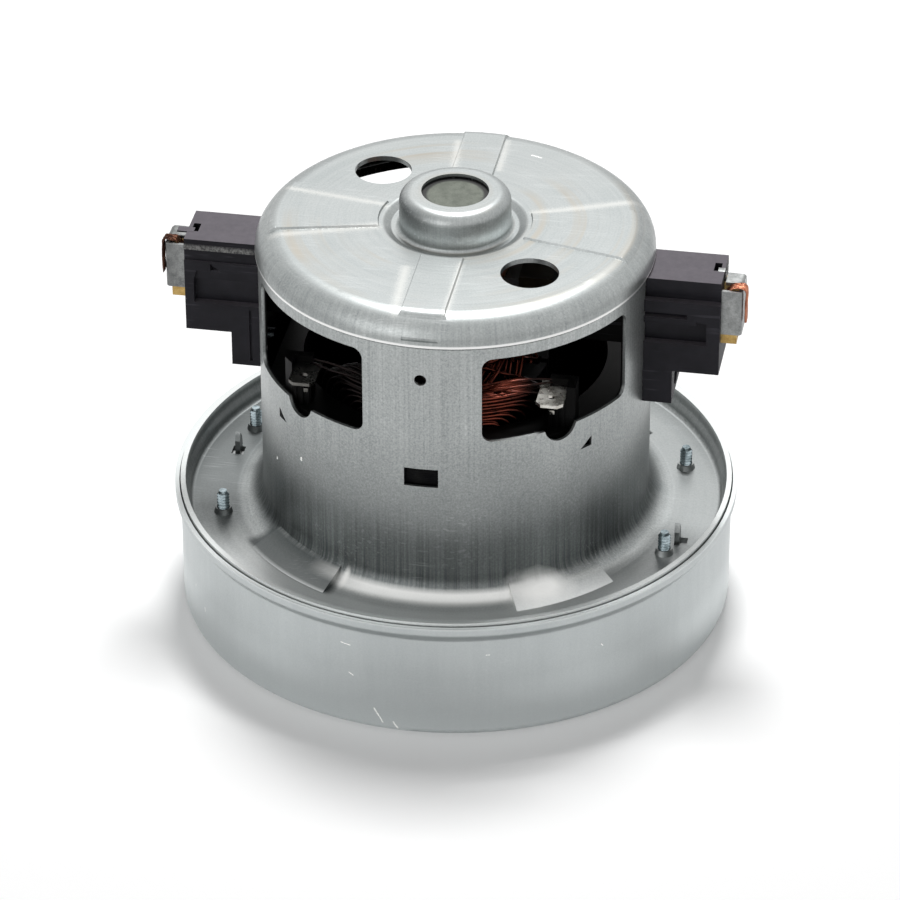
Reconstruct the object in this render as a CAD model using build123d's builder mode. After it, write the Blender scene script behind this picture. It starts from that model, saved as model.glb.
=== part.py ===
from build123d import *
import math
import os

# Vacuum motor unit, in mm. It stands on its fan cover, with the origin on the shaft's axis at
# the cover's underside. +Z runs up the shaft to the bearing boss, the two brush holders lie on
# the X axis, and the terminal tabs point to -Y.

# Clearances and angles
overrun = 2.0  # how far a cutting tool passes the faces that it opens
fit_gap = 0.05  # radial clearance of an assembled joint
press_gap = 0.02  # radial clearance left in a press fit
brush_gap = 0.15  # sliding clearance of a brush in its tube and off the commutator
half_turn = 180.0
front = -90.0
rear = 90.0

# Fan cover: a deep pressed pan, open at the top
cover_sheet = 1.0
dish_width = 19.9  # from the can's wall to the cover's wall
cover_flare = 1.3  # how far the lip stands out from the wall
lip_step = 0.9  # from the cover's lip up to the frame's lip
cover_band_height = 2.0  # straight band at the top of the flared lip
cover_flare_height = 1.8
cover_corner_r = 1.6
cover_bend_r = 1.2
inlet_r = 19.0
inlet_lip_height = 4.0
inlet_roll_r = 2.0
seal_recess_r = 35.0
seal_recess_slope = 2.0
seal_recess_depth = 2.0
seal_bend_r = 1.4

# Motor frame: can and dish, pressed from one sheet
frame_sheet = 1.2
can_foot_r = 6.0  # concave radius between the can and the dish floor
dish_wall_height = 1.9
rim_gap = 0.3  # dark gap between the two nested lips
dish_bend_r = 1.0
dish_flare_bend_r = 1.8
dish_band_height = 2.2
dish_flare_height = 1.8
neck_drop = 0.6  # height of the step that the cap sits on
neck_flange = 6.0  # inward flange under the cap
window_rise = 3.8  # from the stator core's top to the windows
window_height = 22.0
window_near = 17.4  # angles from the front or rear centre line
window_far = 68.0
window_corner_r = 2.5
notch_angle = 41.5
notch_r = 4.3
notch_drop = 3.4  # how far a notch reaches below its window
pilot_r = 1.4
pilot_rise = 16.5  # above the windows' lower edge
slot_width = 8.0
slot_drop = 3.6  # from the stator core's top down to the slot
slot_height = 4.8
lance_angle = 50.6
lance_drop = 3.0  # below the stator core's top
lance_width = 3.4
lance_height = 2.6
gusset_near = 25.0
gusset_far = 52.5
gusset_rise = 3.8  # from the dish floor up to the gusset's top edge
gusset_reach = 8.1  # outward from the can's wall
collar_height = 1.4
collar_base_r = 2.4
collar_top_r = 1.9
tab_slot_width = 3.0
tab_slot_length = 3.6
tab_rise = 5.2
tab_side_rise = 3.0
tab_root = 0.6  # how far the tab's root runs back into the floor
left_tab_slot_reach = 9.1  # outward from the can's wall
left_tab_slot_y = 8.3
left_tab_inset = 0.9  # from the slot's inner side to the tab
right_tab_slot_reach = 10.2
right_tab_slot_y = -13.7
right_tab_inset = 0.0

# Upper bracket: the cap with the bearing boss
cap_sheet = 1.2
cap_step = 0.6  # how far the cap stands out from the can
cap_rise = 17.5  # from the brushes' middle to the cap's flat top
cap_corner_r = 6.0
skirt_drop = 6.75
damper_sheet = 0.8
boss_rise = 8.1
boss_edge_r = 2.8
boss_foot_r = 0.9
boss_hole_inset = 5.2
ring_depth = 1.15
ring_inset = 1.9  # from the boss to the sunk ring's inner side
ring_width = 1.85
ring_foot_r = 0.6
ring_edge_r = 1.4
cap_hole_r = 6.76
cap_hole_place_r = 29.7
cap_hole_angle = 135.0
rib_rise = 0.5
rib_start_gap = 0.75  # from the sunk ring to the ribs
rib_end_inset = 3.7
rib_edge_r = 2.8
rib_fade_angle = 46.0  # where the rib's end meets the cap's rounded edge
rib_slope = 30.0
front_rib_width = 9.7
side_rib_root = 11.5
side_rib_end = 25.0
stake_width = 8.5
stake_height = 0.9
stake_depth = 0.5
stake_drop = 4.8  # below the cap's flat top

# Bearings, both of one size
bearing_r = 11.0
bearing_width = 7.0
ring_chamfer = 0.4
ball_r = 1.984
ball_count = 7
race_gap = 0.056
inner_land_inset = 1.45  # from the balls' circle
outer_land_inset = 1.47
cage_half_width = 0.55
cage_low = 2.9
cage_high = 0.9
cage_pocket_gap = 0.116
shield_sheet = 0.3
shield_gap = 0.25
shield_inset = 0.1
preload_height = 0.7
preload_inset = 2.5
preload_rim_gap = 0.1
cover_disc_sheet = 0.6

# Lower bracket, retainer and diffuser
bracket_sheet = 1.5
bracket_ring_inset = 3.2  # from the cover's wall
bracket_ring_reach = 1.2  # from the can's wall
bracket_spoke_width = 11.0
bracket_spoke_count = 4
bracket_spoke_angle = 45.0
bracket_hub_width = 7.0  # round the lower bearing
cup_lip = 2.6
cup_corner_r = 1.8
cup_mouth_r = 1.0
retainer_sheet = 0.8
retainer_reach = 5.5
retainer_lip = 1.6
diffuser_sheet = 1.6
diffuser_inset = 5.4  # from the cover's wall
diffuser_hole_r = 15.5
diffuser_channel = 7.3  # height of the return channel above the disc
return_vane_count = 12
return_vane_in_r = 27.0
return_vane_inset = 3.3  # from the diffuser's rim
return_vane_sweep = 52.0
return_vane_sheet = 1.4
screw_boss_r = 5.0
vane_bow_share = 0.62  # where a vane's middle lies in its sweep

# Flange screws and holder screws
screw_reach = 6.9  # outward from the can's wall
screw_y = 19.0
screw_r = 1.5
screw_root_r = 1.15
screw_rise = 5.9  # how far the tips stand up from the dish floor
screw_tip_r = 0.95
screw_pitch = 0.75
screw_thread_length = 9.8
screw_head_r = 3.0
screw_head_height = 1.9
screw_head_chamfer = 0.4
screw_recess_depth = 2.2
screw_recess_gap = 0.4
screw_drive_width = 0.9
screw_drive_length = 3.8
screw_drive_depth = 1.0
screw_hole_gap = 0.15
holder_screw_r = 1.6
holder_screw_head_r = 3.0
holder_screw_head_height = 1.7
holder_screw_recess_gap = 0.4
holder_screw_recess = 2.2
holder_screw_drop = 17.9  # below the brushes' middle
holder_screw_reach = 1.4  # how far the tip stands inside the can wall

# Impeller
impeller_rise = 1.2  # from the cover's floor
impeller_gap = 1.2
impeller_sheet = 0.8
impeller_inset = 11.2  # from the cover's wall
impeller_eye_gap = 1.8  # round the inlet
vane_height = 7.0
vane_count = 9
vane_sheet = 0.9
vane_eye_gap = 1.7
vane_rim_gap = 1.2
vane_sweep = 62.0
washer_height = 1.0
washer_r = 9.0
nut_height = 5.0
nut_across = 13.0
spacer_r = 6.5

# Shaft and armature
shaft_r = 4.0
shaft_step = 1.0  # how much thicker the shaft is between its bearings
shaft_thread_step = 0.5
shaft_end = 0.4  # how far the shaft's lower end stands out of the nut
shaft_top_gap = 0.9  # from the shaft's top to the cover disc
shaft_chamfer = 0.5
core_rise = 10.4  # from the dish floor up to the stator core
core_height = 28.0
armature_r = 22.0
air_gap = 0.6
armature_slot_count = 12
armature_slot_width = 3.6
armature_slot_low_r = 10.5
armature_slot_tip = 1.7  # iron left outside a slot
armature_slot_mouth = 1.8
winding_gap = 0.15
winding_end_height = 8.0
winding_end_in_r = 6.0
winding_end_round = 2.6
commutator_drop = 7.5  # below the brushes' middle
commutator_height = 17.5
commutator_r = 12.5
commutator_hub_r = 8.0
commutator_bar_count = 24
commutator_slit = 0.5
riser_height = 1.8
riser_step = 1.9

# Stator
core_flat_inset = 3.55
coil_depth = 6.8
yoke_sheet = 9.05
pole_neck_width = 24.0
pole_shoe_sheet = 5.4
pole_shoe_half_angle = 58.0
insulator_sheet = 1.2
insulator_inset = 0.6
coil_half_angle = 54.0
coil_gap = 0.6  # clearance between a coil and the iron round it
coil_end_height = 7.6
coil_corner_r = 6.0
coil_window_r = 0.5

# Terminal posts and tabs
post_can_gap = 0.3
post_front_inset = 15.1  # from the can's inside
post_depth = 5.4
post_inset = 2.05  # how far the tab overhangs the post on its inner side
post_height = 9.2
post_cheek_width = 2.1
post_cheek_rise = 1.8
post_back_width = 1.9
post_rib_width = 0.7
post_rib_depth = 0.45
post_rib_pitch = 1.5
post_rib_count = 3
right_tab_inset_x = 17.2  # from the can's inside
left_tab_inset_x = 15.1
tab_width = 6.3
tab_thickness = 0.8
tab_reach = 5.6  # how far a tab stands out of its post
tab_bevel = 1.2
tab_hole_r = 0.9
tab_hole_inset = 3.7

# Brushes, their tubes and springs, described on +X
brush_rise = 18.5  # from the stator core's top
brush_width = 7.6
brush_height = 11.0
brush_length = 24.0
tube_sheet = 0.8
tube_inner_gap = 3.3  # from the commutator
tube_reach = 20.9  # outward from the can's wall
spring_r = 3.2
spring_wire = 0.8
spring_end_gap = 0.2

# Brush holder, described on +X: reaches from the can's wall, heights from the brushes' middle
holder_half_width = 7.5
holder_inset = 3.7  # from the tube's outer end
holder_rise = 10.4
holder_drop = 13.7
holder_foot_drop = 22.5
holder_foot_reach = 6.3
holder_nose_gap = 11.5  # from the commutator
nose_wall = 1.4
nose_gap = 0.3
undercut_top_y = 6.6
undercut_low_y = 5.5
undercut_low_rise = 5.7
undercut_shelf_rise = 4.9
chamfer_top_y = 7.0
chamfer_rise = 7.9
band_rise = 4.9
band_depth = 0.5
slot_a_reach = 9.5
slot_a_high_rise = 1.9
slot_a_low_rise = 0.6
slot_a_depth = 1.4
slot_b_inset = 3.1  # from the holder's outer end
slot_b_high_drop = 0.9
slot_b_low_drop = 6.2
slot_b_depth = 1.9
slot_step_inset = 5.5
slot_step_rise = 0.1
recess_inset = 2.2
recess_high_drop = 0.1
recess_low_drop = 6.3
recess_depth = 1.9
ledge_rise = 2.4
ledge_inset = 2.9
ledge_depth = 0.8
tooth_near = 8.3
tooth_far = 10.9
tooth_rise = 4.5
tooth_depth = 1.4
groove_near = 1.3
groove_far = 1.9
groove_low_drop = 21.3
groove_high_drop = 7.3
groove_depth = 0.6
hook_near = 2.6  # in from the holder's outer end
hook_far = 0.9
hook_near_y = -0.7
hook_far_y = 3.0
hook_depth = 3.0

# Brush clip and lead, described on +X
clip_sheet = 0.8
clip_leg_y = 5.8
clip_leg_drop = 3.5
clip_leg_rise = 8.0
clip_tab_rise = 8.5
clip_tab_length = 4.4
clip_half_width = 2.3
clip_stand = 1.2  # how far the clip's face stands outside the tube's end
clip_bend_r = 1.0
lead_r = 0.75
lead_y = -3.6
lead_start_inset = 2.6  # in from the tube's outer end
lead_start_rise = 0.1  # above the tube's top face
lead_top_rise = 10.5
lead_low_drop = 0.5
lead_bend_r = 1.4

# Places that follow from the sizes above, from the shaft outward
bore_r = armature_r + air_gap
shoe_r = bore_r + pole_shoe_sheet
coil_in_r = shoe_r + coil_gap
coil_out_r = coil_in_r + coil_depth
yoke_in_r = coil_out_r + coil_gap
core_r = yoke_in_r + yoke_sheet
core_flat_x = core_r - core_flat_inset
can_in_r = core_r + fit_gap
can_r = can_in_r + frame_sheet
cap_r = can_r + cap_step
neck_r = cap_r - cap_sheet - fit_gap
cover_wall_r = can_r + dish_width
cover_lip_r = cover_wall_r + cover_flare
dish_wall_r = cover_wall_r - cover_sheet - fit_gap - frame_sheet
dish_lip_r = cover_lip_r - cover_sheet - rim_gap - frame_sheet
boss_r = bearing_r + fit_gap + damper_sheet + fit_gap + cap_sheet
boss_hole_r = boss_r - boss_hole_inset
ring_in_r = boss_r + ring_inset
ring_out_r = ring_in_r + ring_width
rib_start_r = ring_out_r + rib_start_gap
rib_end_r = cap_r - rib_end_inset
ball_circle_r = (bearing_r + shaft_r) / 2
race_r = ball_r + race_gap
inner_land_r = ball_circle_r - inner_land_inset
outer_land_r = ball_circle_r + outer_land_inset
cage_in_r = ball_circle_r - cage_half_width
cage_out_r = ball_circle_r + cage_half_width
cage_pocket_r = ball_r + cage_pocket_gap
preload_in_r = bearing_r - preload_inset
preload_out_r = bearing_r - preload_rim_gap
bracket_ring_r = cover_wall_r - bracket_ring_inset
bracket_ring_in_r = can_r + bracket_ring_reach
bracket_hub_r = bearing_r + bracket_hub_width
cup_hole_r = bearing_r - cup_lip
retainer_r = bearing_r + retainer_reach
retainer_hole_r = bearing_r - retainer_lip
diffuser_r = cover_wall_r - diffuser_inset
return_vane_out_r = diffuser_r - return_vane_inset
impeller_r = cover_wall_r - impeller_inset
impeller_eye_r = inlet_r + impeller_eye_gap
vane_in_r = impeller_eye_r + vane_eye_gap
vane_out_r = impeller_r - vane_rim_gap
screw_x = can_r + screw_reach
screw_hole_r = screw_r + screw_hole_gap
screw_recess_r = screw_head_r + screw_recess_gap
holder_screw_recess_r = holder_screw_head_r + holder_screw_recess_gap
left_tab_slot_x = -(can_r + left_tab_slot_reach)
right_tab_slot_x = can_r + right_tab_slot_reach
shaft_body_r = shaft_r + shaft_step
shaft_thread_r = shaft_r - shaft_thread_step
armature_slot_high_r = armature_r - armature_slot_tip
riser_r = commutator_r + riser_step
post_reach_r = can_in_r - post_can_gap
post_front_y = -(can_in_r - post_front_inset)
post_back_y = post_front_y + post_depth
tab_tip_y = post_front_y - tab_reach
right_tab_x = can_in_r - right_tab_inset_x
left_tab_x = -(can_in_r - left_tab_inset_x)
tube_inner_x = commutator_r + tube_inner_gap
tube_outer_x = can_r + tube_reach
brush_face_x = commutator_r + brush_gap
brush_end_x = brush_face_x + brush_length
holder_nose_x = commutator_r + holder_nose_gap
holder_outer_x = tube_outer_x - holder_inset
holder_foot_x = can_r + holder_foot_reach
slot_a_x = can_r + slot_a_reach
slot_b_x = holder_outer_x - slot_b_inset
slot_step_x = holder_outer_x - slot_step_inset
recess_x = holder_outer_x - recess_inset
ledge_x = holder_outer_x - ledge_inset
tooth_in_x = can_r + tooth_near
tooth_out_x = can_r + tooth_far
groove_in_x = can_r + groove_near
groove_out_x = can_r + groove_far
hook_in_x = holder_outer_x - hook_near
hook_out_x = holder_outer_x - hook_far
clip_out_x = tube_outer_x + clip_stand
clip_tab_in_x = clip_out_x - clip_tab_length
lead_start_x = tube_outer_x - lead_start_inset

# Heights that follow, from the fan cover's floor up
front_plate_low = seal_recess_depth + cover_sheet + impeller_rise
vane_low = front_plate_low + impeller_sheet
back_plate_low = vane_low + vane_height
back_plate_high = back_plate_low + impeller_sheet
washer_low = back_plate_low - washer_height
nut_low = washer_low - nut_height
diffuser_low = back_plate_high + impeller_gap
diffuser_top = diffuser_low + diffuser_sheet
bracket_low = diffuser_top + diffuser_channel
floor_low = bracket_low + bracket_sheet
floor_top = floor_low + frame_sheet
rim_top = floor_top + dish_wall_height + dish_flare_height + dish_band_height
cover_height = rim_top - lip_step
lower_bearing_low = floor_low - bearing_width
screw_tip = floor_top + screw_rise
core_low = floor_top + core_rise
core_high = core_low + core_height
insulator_low = core_low - insulator_sheet
insulator_top = core_high + insulator_sheet
coil_low = insulator_low - coil_end_height
coil_high = insulator_top + coil_end_height
window_low = core_high + window_rise
window_high = window_low + window_height
notch_low = window_low - notch_drop
pilot_z = window_low + pilot_rise
slot_high = core_high - slot_drop
slot_low = slot_high - slot_height
lance_z = core_high - lance_drop
post_top = core_high + post_height
brush_z = core_high + brush_rise
commutator_low = brush_z - commutator_drop
commutator_high = commutator_low + commutator_height
holder_screw_z = brush_z - holder_screw_drop
holder_top = brush_z + holder_rise
holder_low = brush_z - holder_drop
holder_foot_low = brush_z - holder_foot_drop
undercut_low = brush_z + undercut_low_rise
undercut_shelf = brush_z + undercut_shelf_rise
chamfer_low = brush_z + chamfer_rise
band_low = brush_z + band_rise
slot_a_high = brush_z + slot_a_high_rise
slot_a_low = brush_z + slot_a_low_rise
slot_b_high = brush_z - slot_b_high_drop
slot_b_low = brush_z - slot_b_low_drop
slot_step_high = brush_z + slot_step_rise
recess_high = brush_z - recess_high_drop
recess_low = brush_z - recess_low_drop
ledge_high = brush_z + ledge_rise
tooth_high = brush_z + tooth_rise
groove_low = brush_z - groove_low_drop
groove_high = brush_z - groove_high_drop
clip_leg_low = brush_z - clip_leg_drop
clip_leg_high = brush_z + clip_leg_rise
clip_tab_top = brush_z + clip_tab_rise
lead_top_z = brush_z + lead_top_rise
lead_low_z = brush_z - lead_low_drop
tube_in_y = brush_width / 2 + brush_gap
tube_in_z = brush_height / 2 + brush_gap
tube_out_y = tube_in_y + tube_sheet
tube_out_z = tube_in_z + tube_sheet
tube_high = brush_z + tube_out_z
nose_out_y = tube_out_y + nose_wall
nose_out_z = tube_out_z + nose_wall
cap_top = brush_z + cap_rise
skirt_low = cap_top - skirt_drop
neck_low = skirt_low - fit_gap
neck_high = cap_top - cap_sheet - fit_gap
stake_z = cap_top - stake_drop
boss_top = cap_top + boss_rise
boss_under = boss_top - cap_sheet
disc_low = boss_under - cover_disc_sheet
preload_low = disc_low - preload_height
upper_bearing_low = preload_low - bearing_width

pieces = {}


def radial_plane(angle, out_r, height):
    # A plane that faces away from the axis, at one angle, radius and height
    out_x = math.cos(math.radians(angle))
    out_y = math.sin(math.radians(angle))
    return Plane(origin=(out_r * out_x, out_r * out_y, height), x_dir=(-out_y, out_x, 0), z_dir=(out_x, out_y, 0))


def ring_sector(inner_r, outer_r, middle, half_angle, height):
    # Part of a flat ring about the axis, at one height
    with BuildSketch(Plane.XY.offset(height)) as face:
        with BuildLine():
            inner = CenterArc((0, 0), inner_r, middle - half_angle, 2 * half_angle)
            outer = CenterArc((0, 0), outer_r, middle - half_angle, 2 * half_angle)
            Line(inner @ 0, outer @ 0)
            Line(inner @ 1, outer @ 1)
        make_face()
    return face.sketch


def curved_vane(inner_r, outer_r, sweep, sheet):
    # A backward-curved vane seen from above, from the inner to the outer radius
    start = math.radians(0)
    middle = math.radians(-sweep * vane_bow_share)
    end = math.radians(-sweep)
    middle_r = (inner_r + outer_r) / 2
    with BuildSketch() as face:
        with BuildLine():
            ThreePointArc(
                (inner_r * math.cos(start), inner_r * math.sin(start)),
                (middle_r * math.cos(middle), middle_r * math.sin(middle)),
                (outer_r * math.cos(end), outer_r * math.sin(end)),
            )
        trace(line_width=sheet)
    return face.sketch


def lamination(outer_r, flat_x, height):
    # Two-pole stator outline: a yoke with side flats, two necks and two pole shoes
    with BuildSketch(Plane.XY.offset(height)) as face:
        Circle(outer_r)
        Rectangle(2 * flat_x, 2 * outer_r, mode=Mode.INTERSECT)
        Circle(yoke_in_r, mode=Mode.SUBTRACT)
        Rectangle(pole_neck_width, 2 * yoke_in_r)
        add(ring_sector(bore_r, shoe_r, front, pole_shoe_half_angle, 0))
        add(ring_sector(bore_r, shoe_r, rear, pole_shoe_half_angle, 0))
        Circle(bore_r, mode=Mode.SUBTRACT)
    return face.sketch


# Fan cover: inlet lip, seal recess, flat foot, wall and flared lip
cover_points = [
    (inlet_r, seal_recess_depth + inlet_lip_height),
    (inlet_r, seal_recess_depth),
    (seal_recess_r - seal_recess_slope, seal_recess_depth),
    (seal_recess_r, 0),
    (cover_wall_r, 0),
    (cover_wall_r, cover_height - cover_band_height - cover_flare_height),
    (cover_lip_r, cover_height - cover_band_height),
    (cover_lip_r, cover_height),
]
cover_radii = [inlet_roll_r, seal_bend_r, seal_bend_r, cover_corner_r, cover_bend_r, cover_bend_r]
with BuildPart() as fan_cover:
    with BuildSketch(Plane.XZ):
        with BuildLine():
            FilletPolyline(cover_points, radius=cover_radii)
            offset(amount=cover_sheet, side=Side.LEFT)
        make_face()
    revolve(axis=Axis.Z)
pieces["fan_cover"] = fan_cover

# One air window's cutter, about the +X direction
cut_in_r = can_in_r - overrun
cut_out_r = can_r + overrun
cut_depth = frame_sheet + 2 * overrun
window_half_angle = (window_far - window_near) / 2
window_middle = (window_far + window_near) / 2
with BuildPart() as window_tool:
    extrude(ring_sector(cut_in_r, cut_out_r, 0, window_half_angle, window_low), amount=window_high - window_low)
    fillet(
        window_tool.edges().filter_by(GeomType.LINE).filter_by(Axis.Z, reverse=True),
        radius=window_corner_r,
    )

# One coined gusset: a flat facet that fills part of the can's foot radius
foot_end_r = can_r + can_foot_r
foot_end_z = floor_top + can_foot_r
foot_sheet_r = can_foot_r + frame_sheet / 2
foot_45 = math.radians(45)
with BuildPart() as gusset_tool:
    with BuildSketch(Plane.XZ):
        with BuildLine():
            Polyline(
                [
                    (can_r - frame_sheet / 2, foot_end_z),
                    (can_r, floor_top + gusset_rise),
                    (can_r + gusset_reach, floor_top),
                    (can_r + gusset_reach, floor_top - frame_sheet / 2),
                    (foot_end_r, floor_top - frame_sheet / 2),
                ]
            )
            ThreePointArc(
                (foot_end_r, foot_end_z - foot_sheet_r),
                (foot_end_r - foot_sheet_r * math.cos(foot_45), foot_end_z - foot_sheet_r * math.sin(foot_45)),
                (foot_end_r - foot_sheet_r, foot_end_z),
            )
        make_face()
    revolve(axis=Axis.Z, revolution_arc=gusset_far - gusset_near)

# Motor frame: flange, neck, can wall and foot, then the dish floor, its wall and its lip
frame_points = [
    (neck_r - neck_flange, neck_high),
    (neck_r, neck_high),
    (neck_r, neck_low),
    (can_r, neck_low - neck_drop),
    (can_r, floor_top),
    (dish_wall_r, floor_top),
    (dish_wall_r, rim_top - dish_band_height - dish_flare_height),
    (dish_lip_r, rim_top - dish_band_height),
    (dish_lip_r, rim_top),
]
neck_corner_r = cap_corner_r - cap_sheet - fit_gap
frame_radii = [neck_corner_r, 0, 0, can_foot_r, dish_bend_r, dish_flare_bend_r, dish_flare_bend_r]
tab_slots = [
    (left_tab_slot_x, left_tab_slot_y, -1, left_tab_inset),
    (right_tab_slot_x, right_tab_slot_y, 1, right_tab_inset),
]
with BuildPart() as motor_frame:
    with BuildSketch(Plane.XZ):
        with BuildLine():
            FilletPolyline(frame_points, radius=frame_radii)
            offset(amount=frame_sheet, side=Side.RIGHT)
        make_face()
    revolve(axis=Axis.Z)
    for end in (front, rear):
        # Gussets at the can's foot
        add(gusset_tool.part, rotation=(0, 0, end + gusset_near))
        add(gusset_tool.part, rotation=(0, 0, end - gusset_far))
        # Air windows
        add(window_tool.part, rotation=(0, 0, end + window_middle), mode=Mode.SUBTRACT)
        add(window_tool.part, rotation=(0, 0, end - window_middle), mode=Mode.SUBTRACT)
        # Pilot hole and stator slot
        with BuildSketch(radial_plane(end, cut_in_r, pilot_z)):
            Circle(pilot_r)
        extrude(amount=cut_depth, mode=Mode.SUBTRACT)
        with BuildSketch(radial_plane(end, cut_in_r, (slot_low + slot_high) / 2)):
            Rectangle(slot_width, slot_high - slot_low)
        extrude(amount=cut_depth, mode=Mode.SUBTRACT)
        # Lanced triangles beside the stator slot
        for side in (-1, 1):
            with BuildSketch(radial_plane(end + side * lance_angle, cut_in_r, lance_z)):
                with BuildLine():
                    Polyline(
                        [
                            (-lance_width / 2, -lance_height / 2),
                            (lance_width / 2, -lance_height / 2),
                            (side * lance_width / 2, lance_height / 2),
                        ],
                        close=True,
                    )
                make_face()
            extrude(amount=cut_depth, mode=Mode.SUBTRACT)
    # A round notch below each front window, at its terminal
    for side in (-1, 1):
        with BuildSketch(radial_plane(front + side * notch_angle, cut_in_r, notch_low + notch_r)):
            Circle(notch_r)
        extrude(amount=cut_depth, mode=Mode.SUBTRACT)
    # Openings for the brush holders' noses and their screws
    for end in (0, half_turn):
        with BuildSketch(radial_plane(end, cut_in_r, brush_z)):
            Rectangle(2 * (nose_out_y + nose_gap), 2 * (nose_out_z + nose_gap))
        extrude(amount=cut_depth, mode=Mode.SUBTRACT)
        with BuildSketch(radial_plane(end, cut_in_r, holder_screw_z)):
            Circle(holder_screw_r + fit_gap)
        extrude(amount=cut_depth, mode=Mode.SUBTRACT)
    # Collars drawn up round the flange screws
    for x in (-screw_x, screw_x):
        for y in (-screw_y, screw_y):
            with BuildSketch(Plane(origin=(x, y, floor_top - frame_sheet / 2))):
                Circle(collar_base_r)
            with BuildSketch(Plane(origin=(x, y, floor_top + collar_height))):
                Circle(collar_top_r)
            loft()
    with BuildSketch(Plane.XY.offset(floor_low - overrun)):
        with GridLocations(2 * screw_x, 2 * screw_y, 2, 2):
            Circle(screw_r + fit_gap)
    extrude(amount=frame_sheet + collar_height + 2 * overrun, mode=Mode.SUBTRACT)
    # Two slots, each with a pointed tab turned up from it
    for slot_x, slot_y, side, inset in tab_slots:
        with BuildSketch(Plane(origin=(slot_x, slot_y, floor_low - overrun))):
            Rectangle(tab_slot_width, tab_slot_length)
        extrude(amount=frame_sheet + 2 * overrun, mode=Mode.SUBTRACT)
        tab_x = slot_x + side * (inset + frame_sheet / 2 - tab_slot_width / 2)
        with BuildSketch(Plane.YZ.offset(tab_x - frame_sheet / 2)):
            with BuildLine():
                Polyline(
                    [
                        (slot_y + tab_slot_length / 2 + tab_root, floor_low),
                        (slot_y + tab_slot_length / 2 + tab_root, floor_top),
                        (slot_y + tab_slot_length / 2, floor_top + tab_side_rise),
                        (slot_y, floor_top + tab_rise),
                        (slot_y - tab_slot_length / 4, floor_top + tab_side_rise),
                        (slot_y - tab_slot_length / 4, floor_low),
                    ],
                    close=True,
                )
            make_face()
        extrude(amount=frame_sheet)
pieces["motor_frame"] = motor_frame

# The cap's four raised ribs, before they are trimmed to their outline
rib_corner_r = cap_corner_r - cap_sheet / 2
rib_corner_x = cap_r - cap_corner_r
rib_corner_z = cap_top - cap_corner_r
fade = math.radians(rib_fade_angle)
fade_middle = math.radians((rib_fade_angle + rear) / 2)
rib_end_x = rib_corner_x + rib_corner_r * math.cos(fade)
rib_end_z = rib_corner_z + rib_corner_r * math.sin(fade)
with BuildPart() as cap_ribs:
    with BuildSketch(Plane.XZ):
        with BuildLine():
            FilletPolyline(
                [
                    (rib_start_r, cap_top - cap_sheet / 2),
                    (rib_start_r + rib_rise, cap_top + rib_rise),
                    (rib_end_r, cap_top + rib_rise),
                    (rib_end_x, rib_end_z),
                ],
                radius=[0, rib_edge_r],
            )
            ThreePointArc(
                (rib_end_x, rib_end_z),
                (
                    rib_corner_x + rib_corner_r * math.cos(fade_middle),
                    rib_corner_z + rib_corner_r * math.sin(fade_middle),
                ),
                (rib_corner_x, cap_top - cap_sheet / 2),
            )
            Line((rib_corner_x, cap_top - cap_sheet / 2), (rib_start_r, cap_top - cap_sheet / 2))
        make_face()
    revolve(axis=Axis.Z)
    # Straight ribs to the front and rear, flaring ribs to the sides
    with BuildSketch(Plane.XY.offset(cap_top + rib_rise)):
        Rectangle(front_rib_width, 2 * cap_r)
        with BuildLine():
            Polyline(
                [
                    (0, side_rib_root / 2),
                    (rib_start_r, side_rib_root / 2),
                    (cap_r, side_rib_end / 2),
                    (cap_r, -side_rib_end / 2),
                    (rib_start_r, -side_rib_root / 2),
                    (-rib_start_r, -side_rib_root / 2),
                    (-cap_r, -side_rib_end / 2),
                    (-cap_r, side_rib_end / 2),
                    (-rib_start_r, side_rib_root / 2),
                ],
                close=True,
            )
        make_face()
    extrude(amount=-(rib_rise + cap_corner_r), taper=-rib_slope, mode=Mode.INTERSECT)

# Upper bracket: bearing boss, sunk ring, flat top, rounded edge and skirt
cap_points = [
    (boss_hole_r, boss_top),
    (boss_r, boss_top),
    (boss_r, cap_top - ring_depth),
    (ring_in_r, cap_top - ring_depth),
    (ring_out_r, cap_top),
    (cap_r, cap_top),
    (cap_r, skirt_low),
]
cap_radii = [boss_edge_r, boss_foot_r, ring_foot_r, ring_edge_r, cap_corner_r]
with BuildPart() as upper_bracket:
    with BuildSketch(Plane.XZ):
        with BuildLine():
            FilletPolyline(cap_points, radius=cap_radii)
            offset(amount=cap_sheet, side=Side.RIGHT)
        make_face()
    revolve(axis=Axis.Z)
    add(cap_ribs.part)
    # Two round holes, across from each other
    with BuildSketch(Plane.XY.offset(cap_top - cap_sheet - overrun)):
        with PolarLocations(cap_hole_place_r, 2, start_angle=cap_hole_angle):
            Circle(cap_hole_r)
    extrude(amount=cap_sheet + rib_rise + 2 * overrun, mode=Mode.SUBTRACT)
    # A stake mark pressed into the skirt at the front and rear
    for end in (front, rear):
        with BuildSketch(radial_plane(end, cap_r - stake_depth, stake_z)):
            Rectangle(stake_width, stake_height)
        extrude(amount=stake_depth + overrun, mode=Mode.SUBTRACT)
pieces["upper_bracket"] = upper_bracket

# Bearing damper: a rubber sleeve between the boss and the upper bearing
with BuildPart() as bearing_damper:
    with BuildSketch(Plane.XY.offset(upper_bearing_low)):
        Circle(boss_r - cap_sheet - fit_gap)
        Circle(bearing_r + fit_gap, mode=Mode.SUBTRACT)
    extrude(amount=bearing_width)
pieces["bearing_damper"] = bearing_damper

# Preload washer: it keeps the upper bearing's outer ring under load
with BuildPart() as preload_washer:
    with BuildSketch(Plane.XY.offset(preload_low)):
        Circle(preload_out_r)
        Circle(preload_in_r, mode=Mode.SUBTRACT)
    extrude(amount=preload_height)
pieces["preload_washer"] = preload_washer

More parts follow.
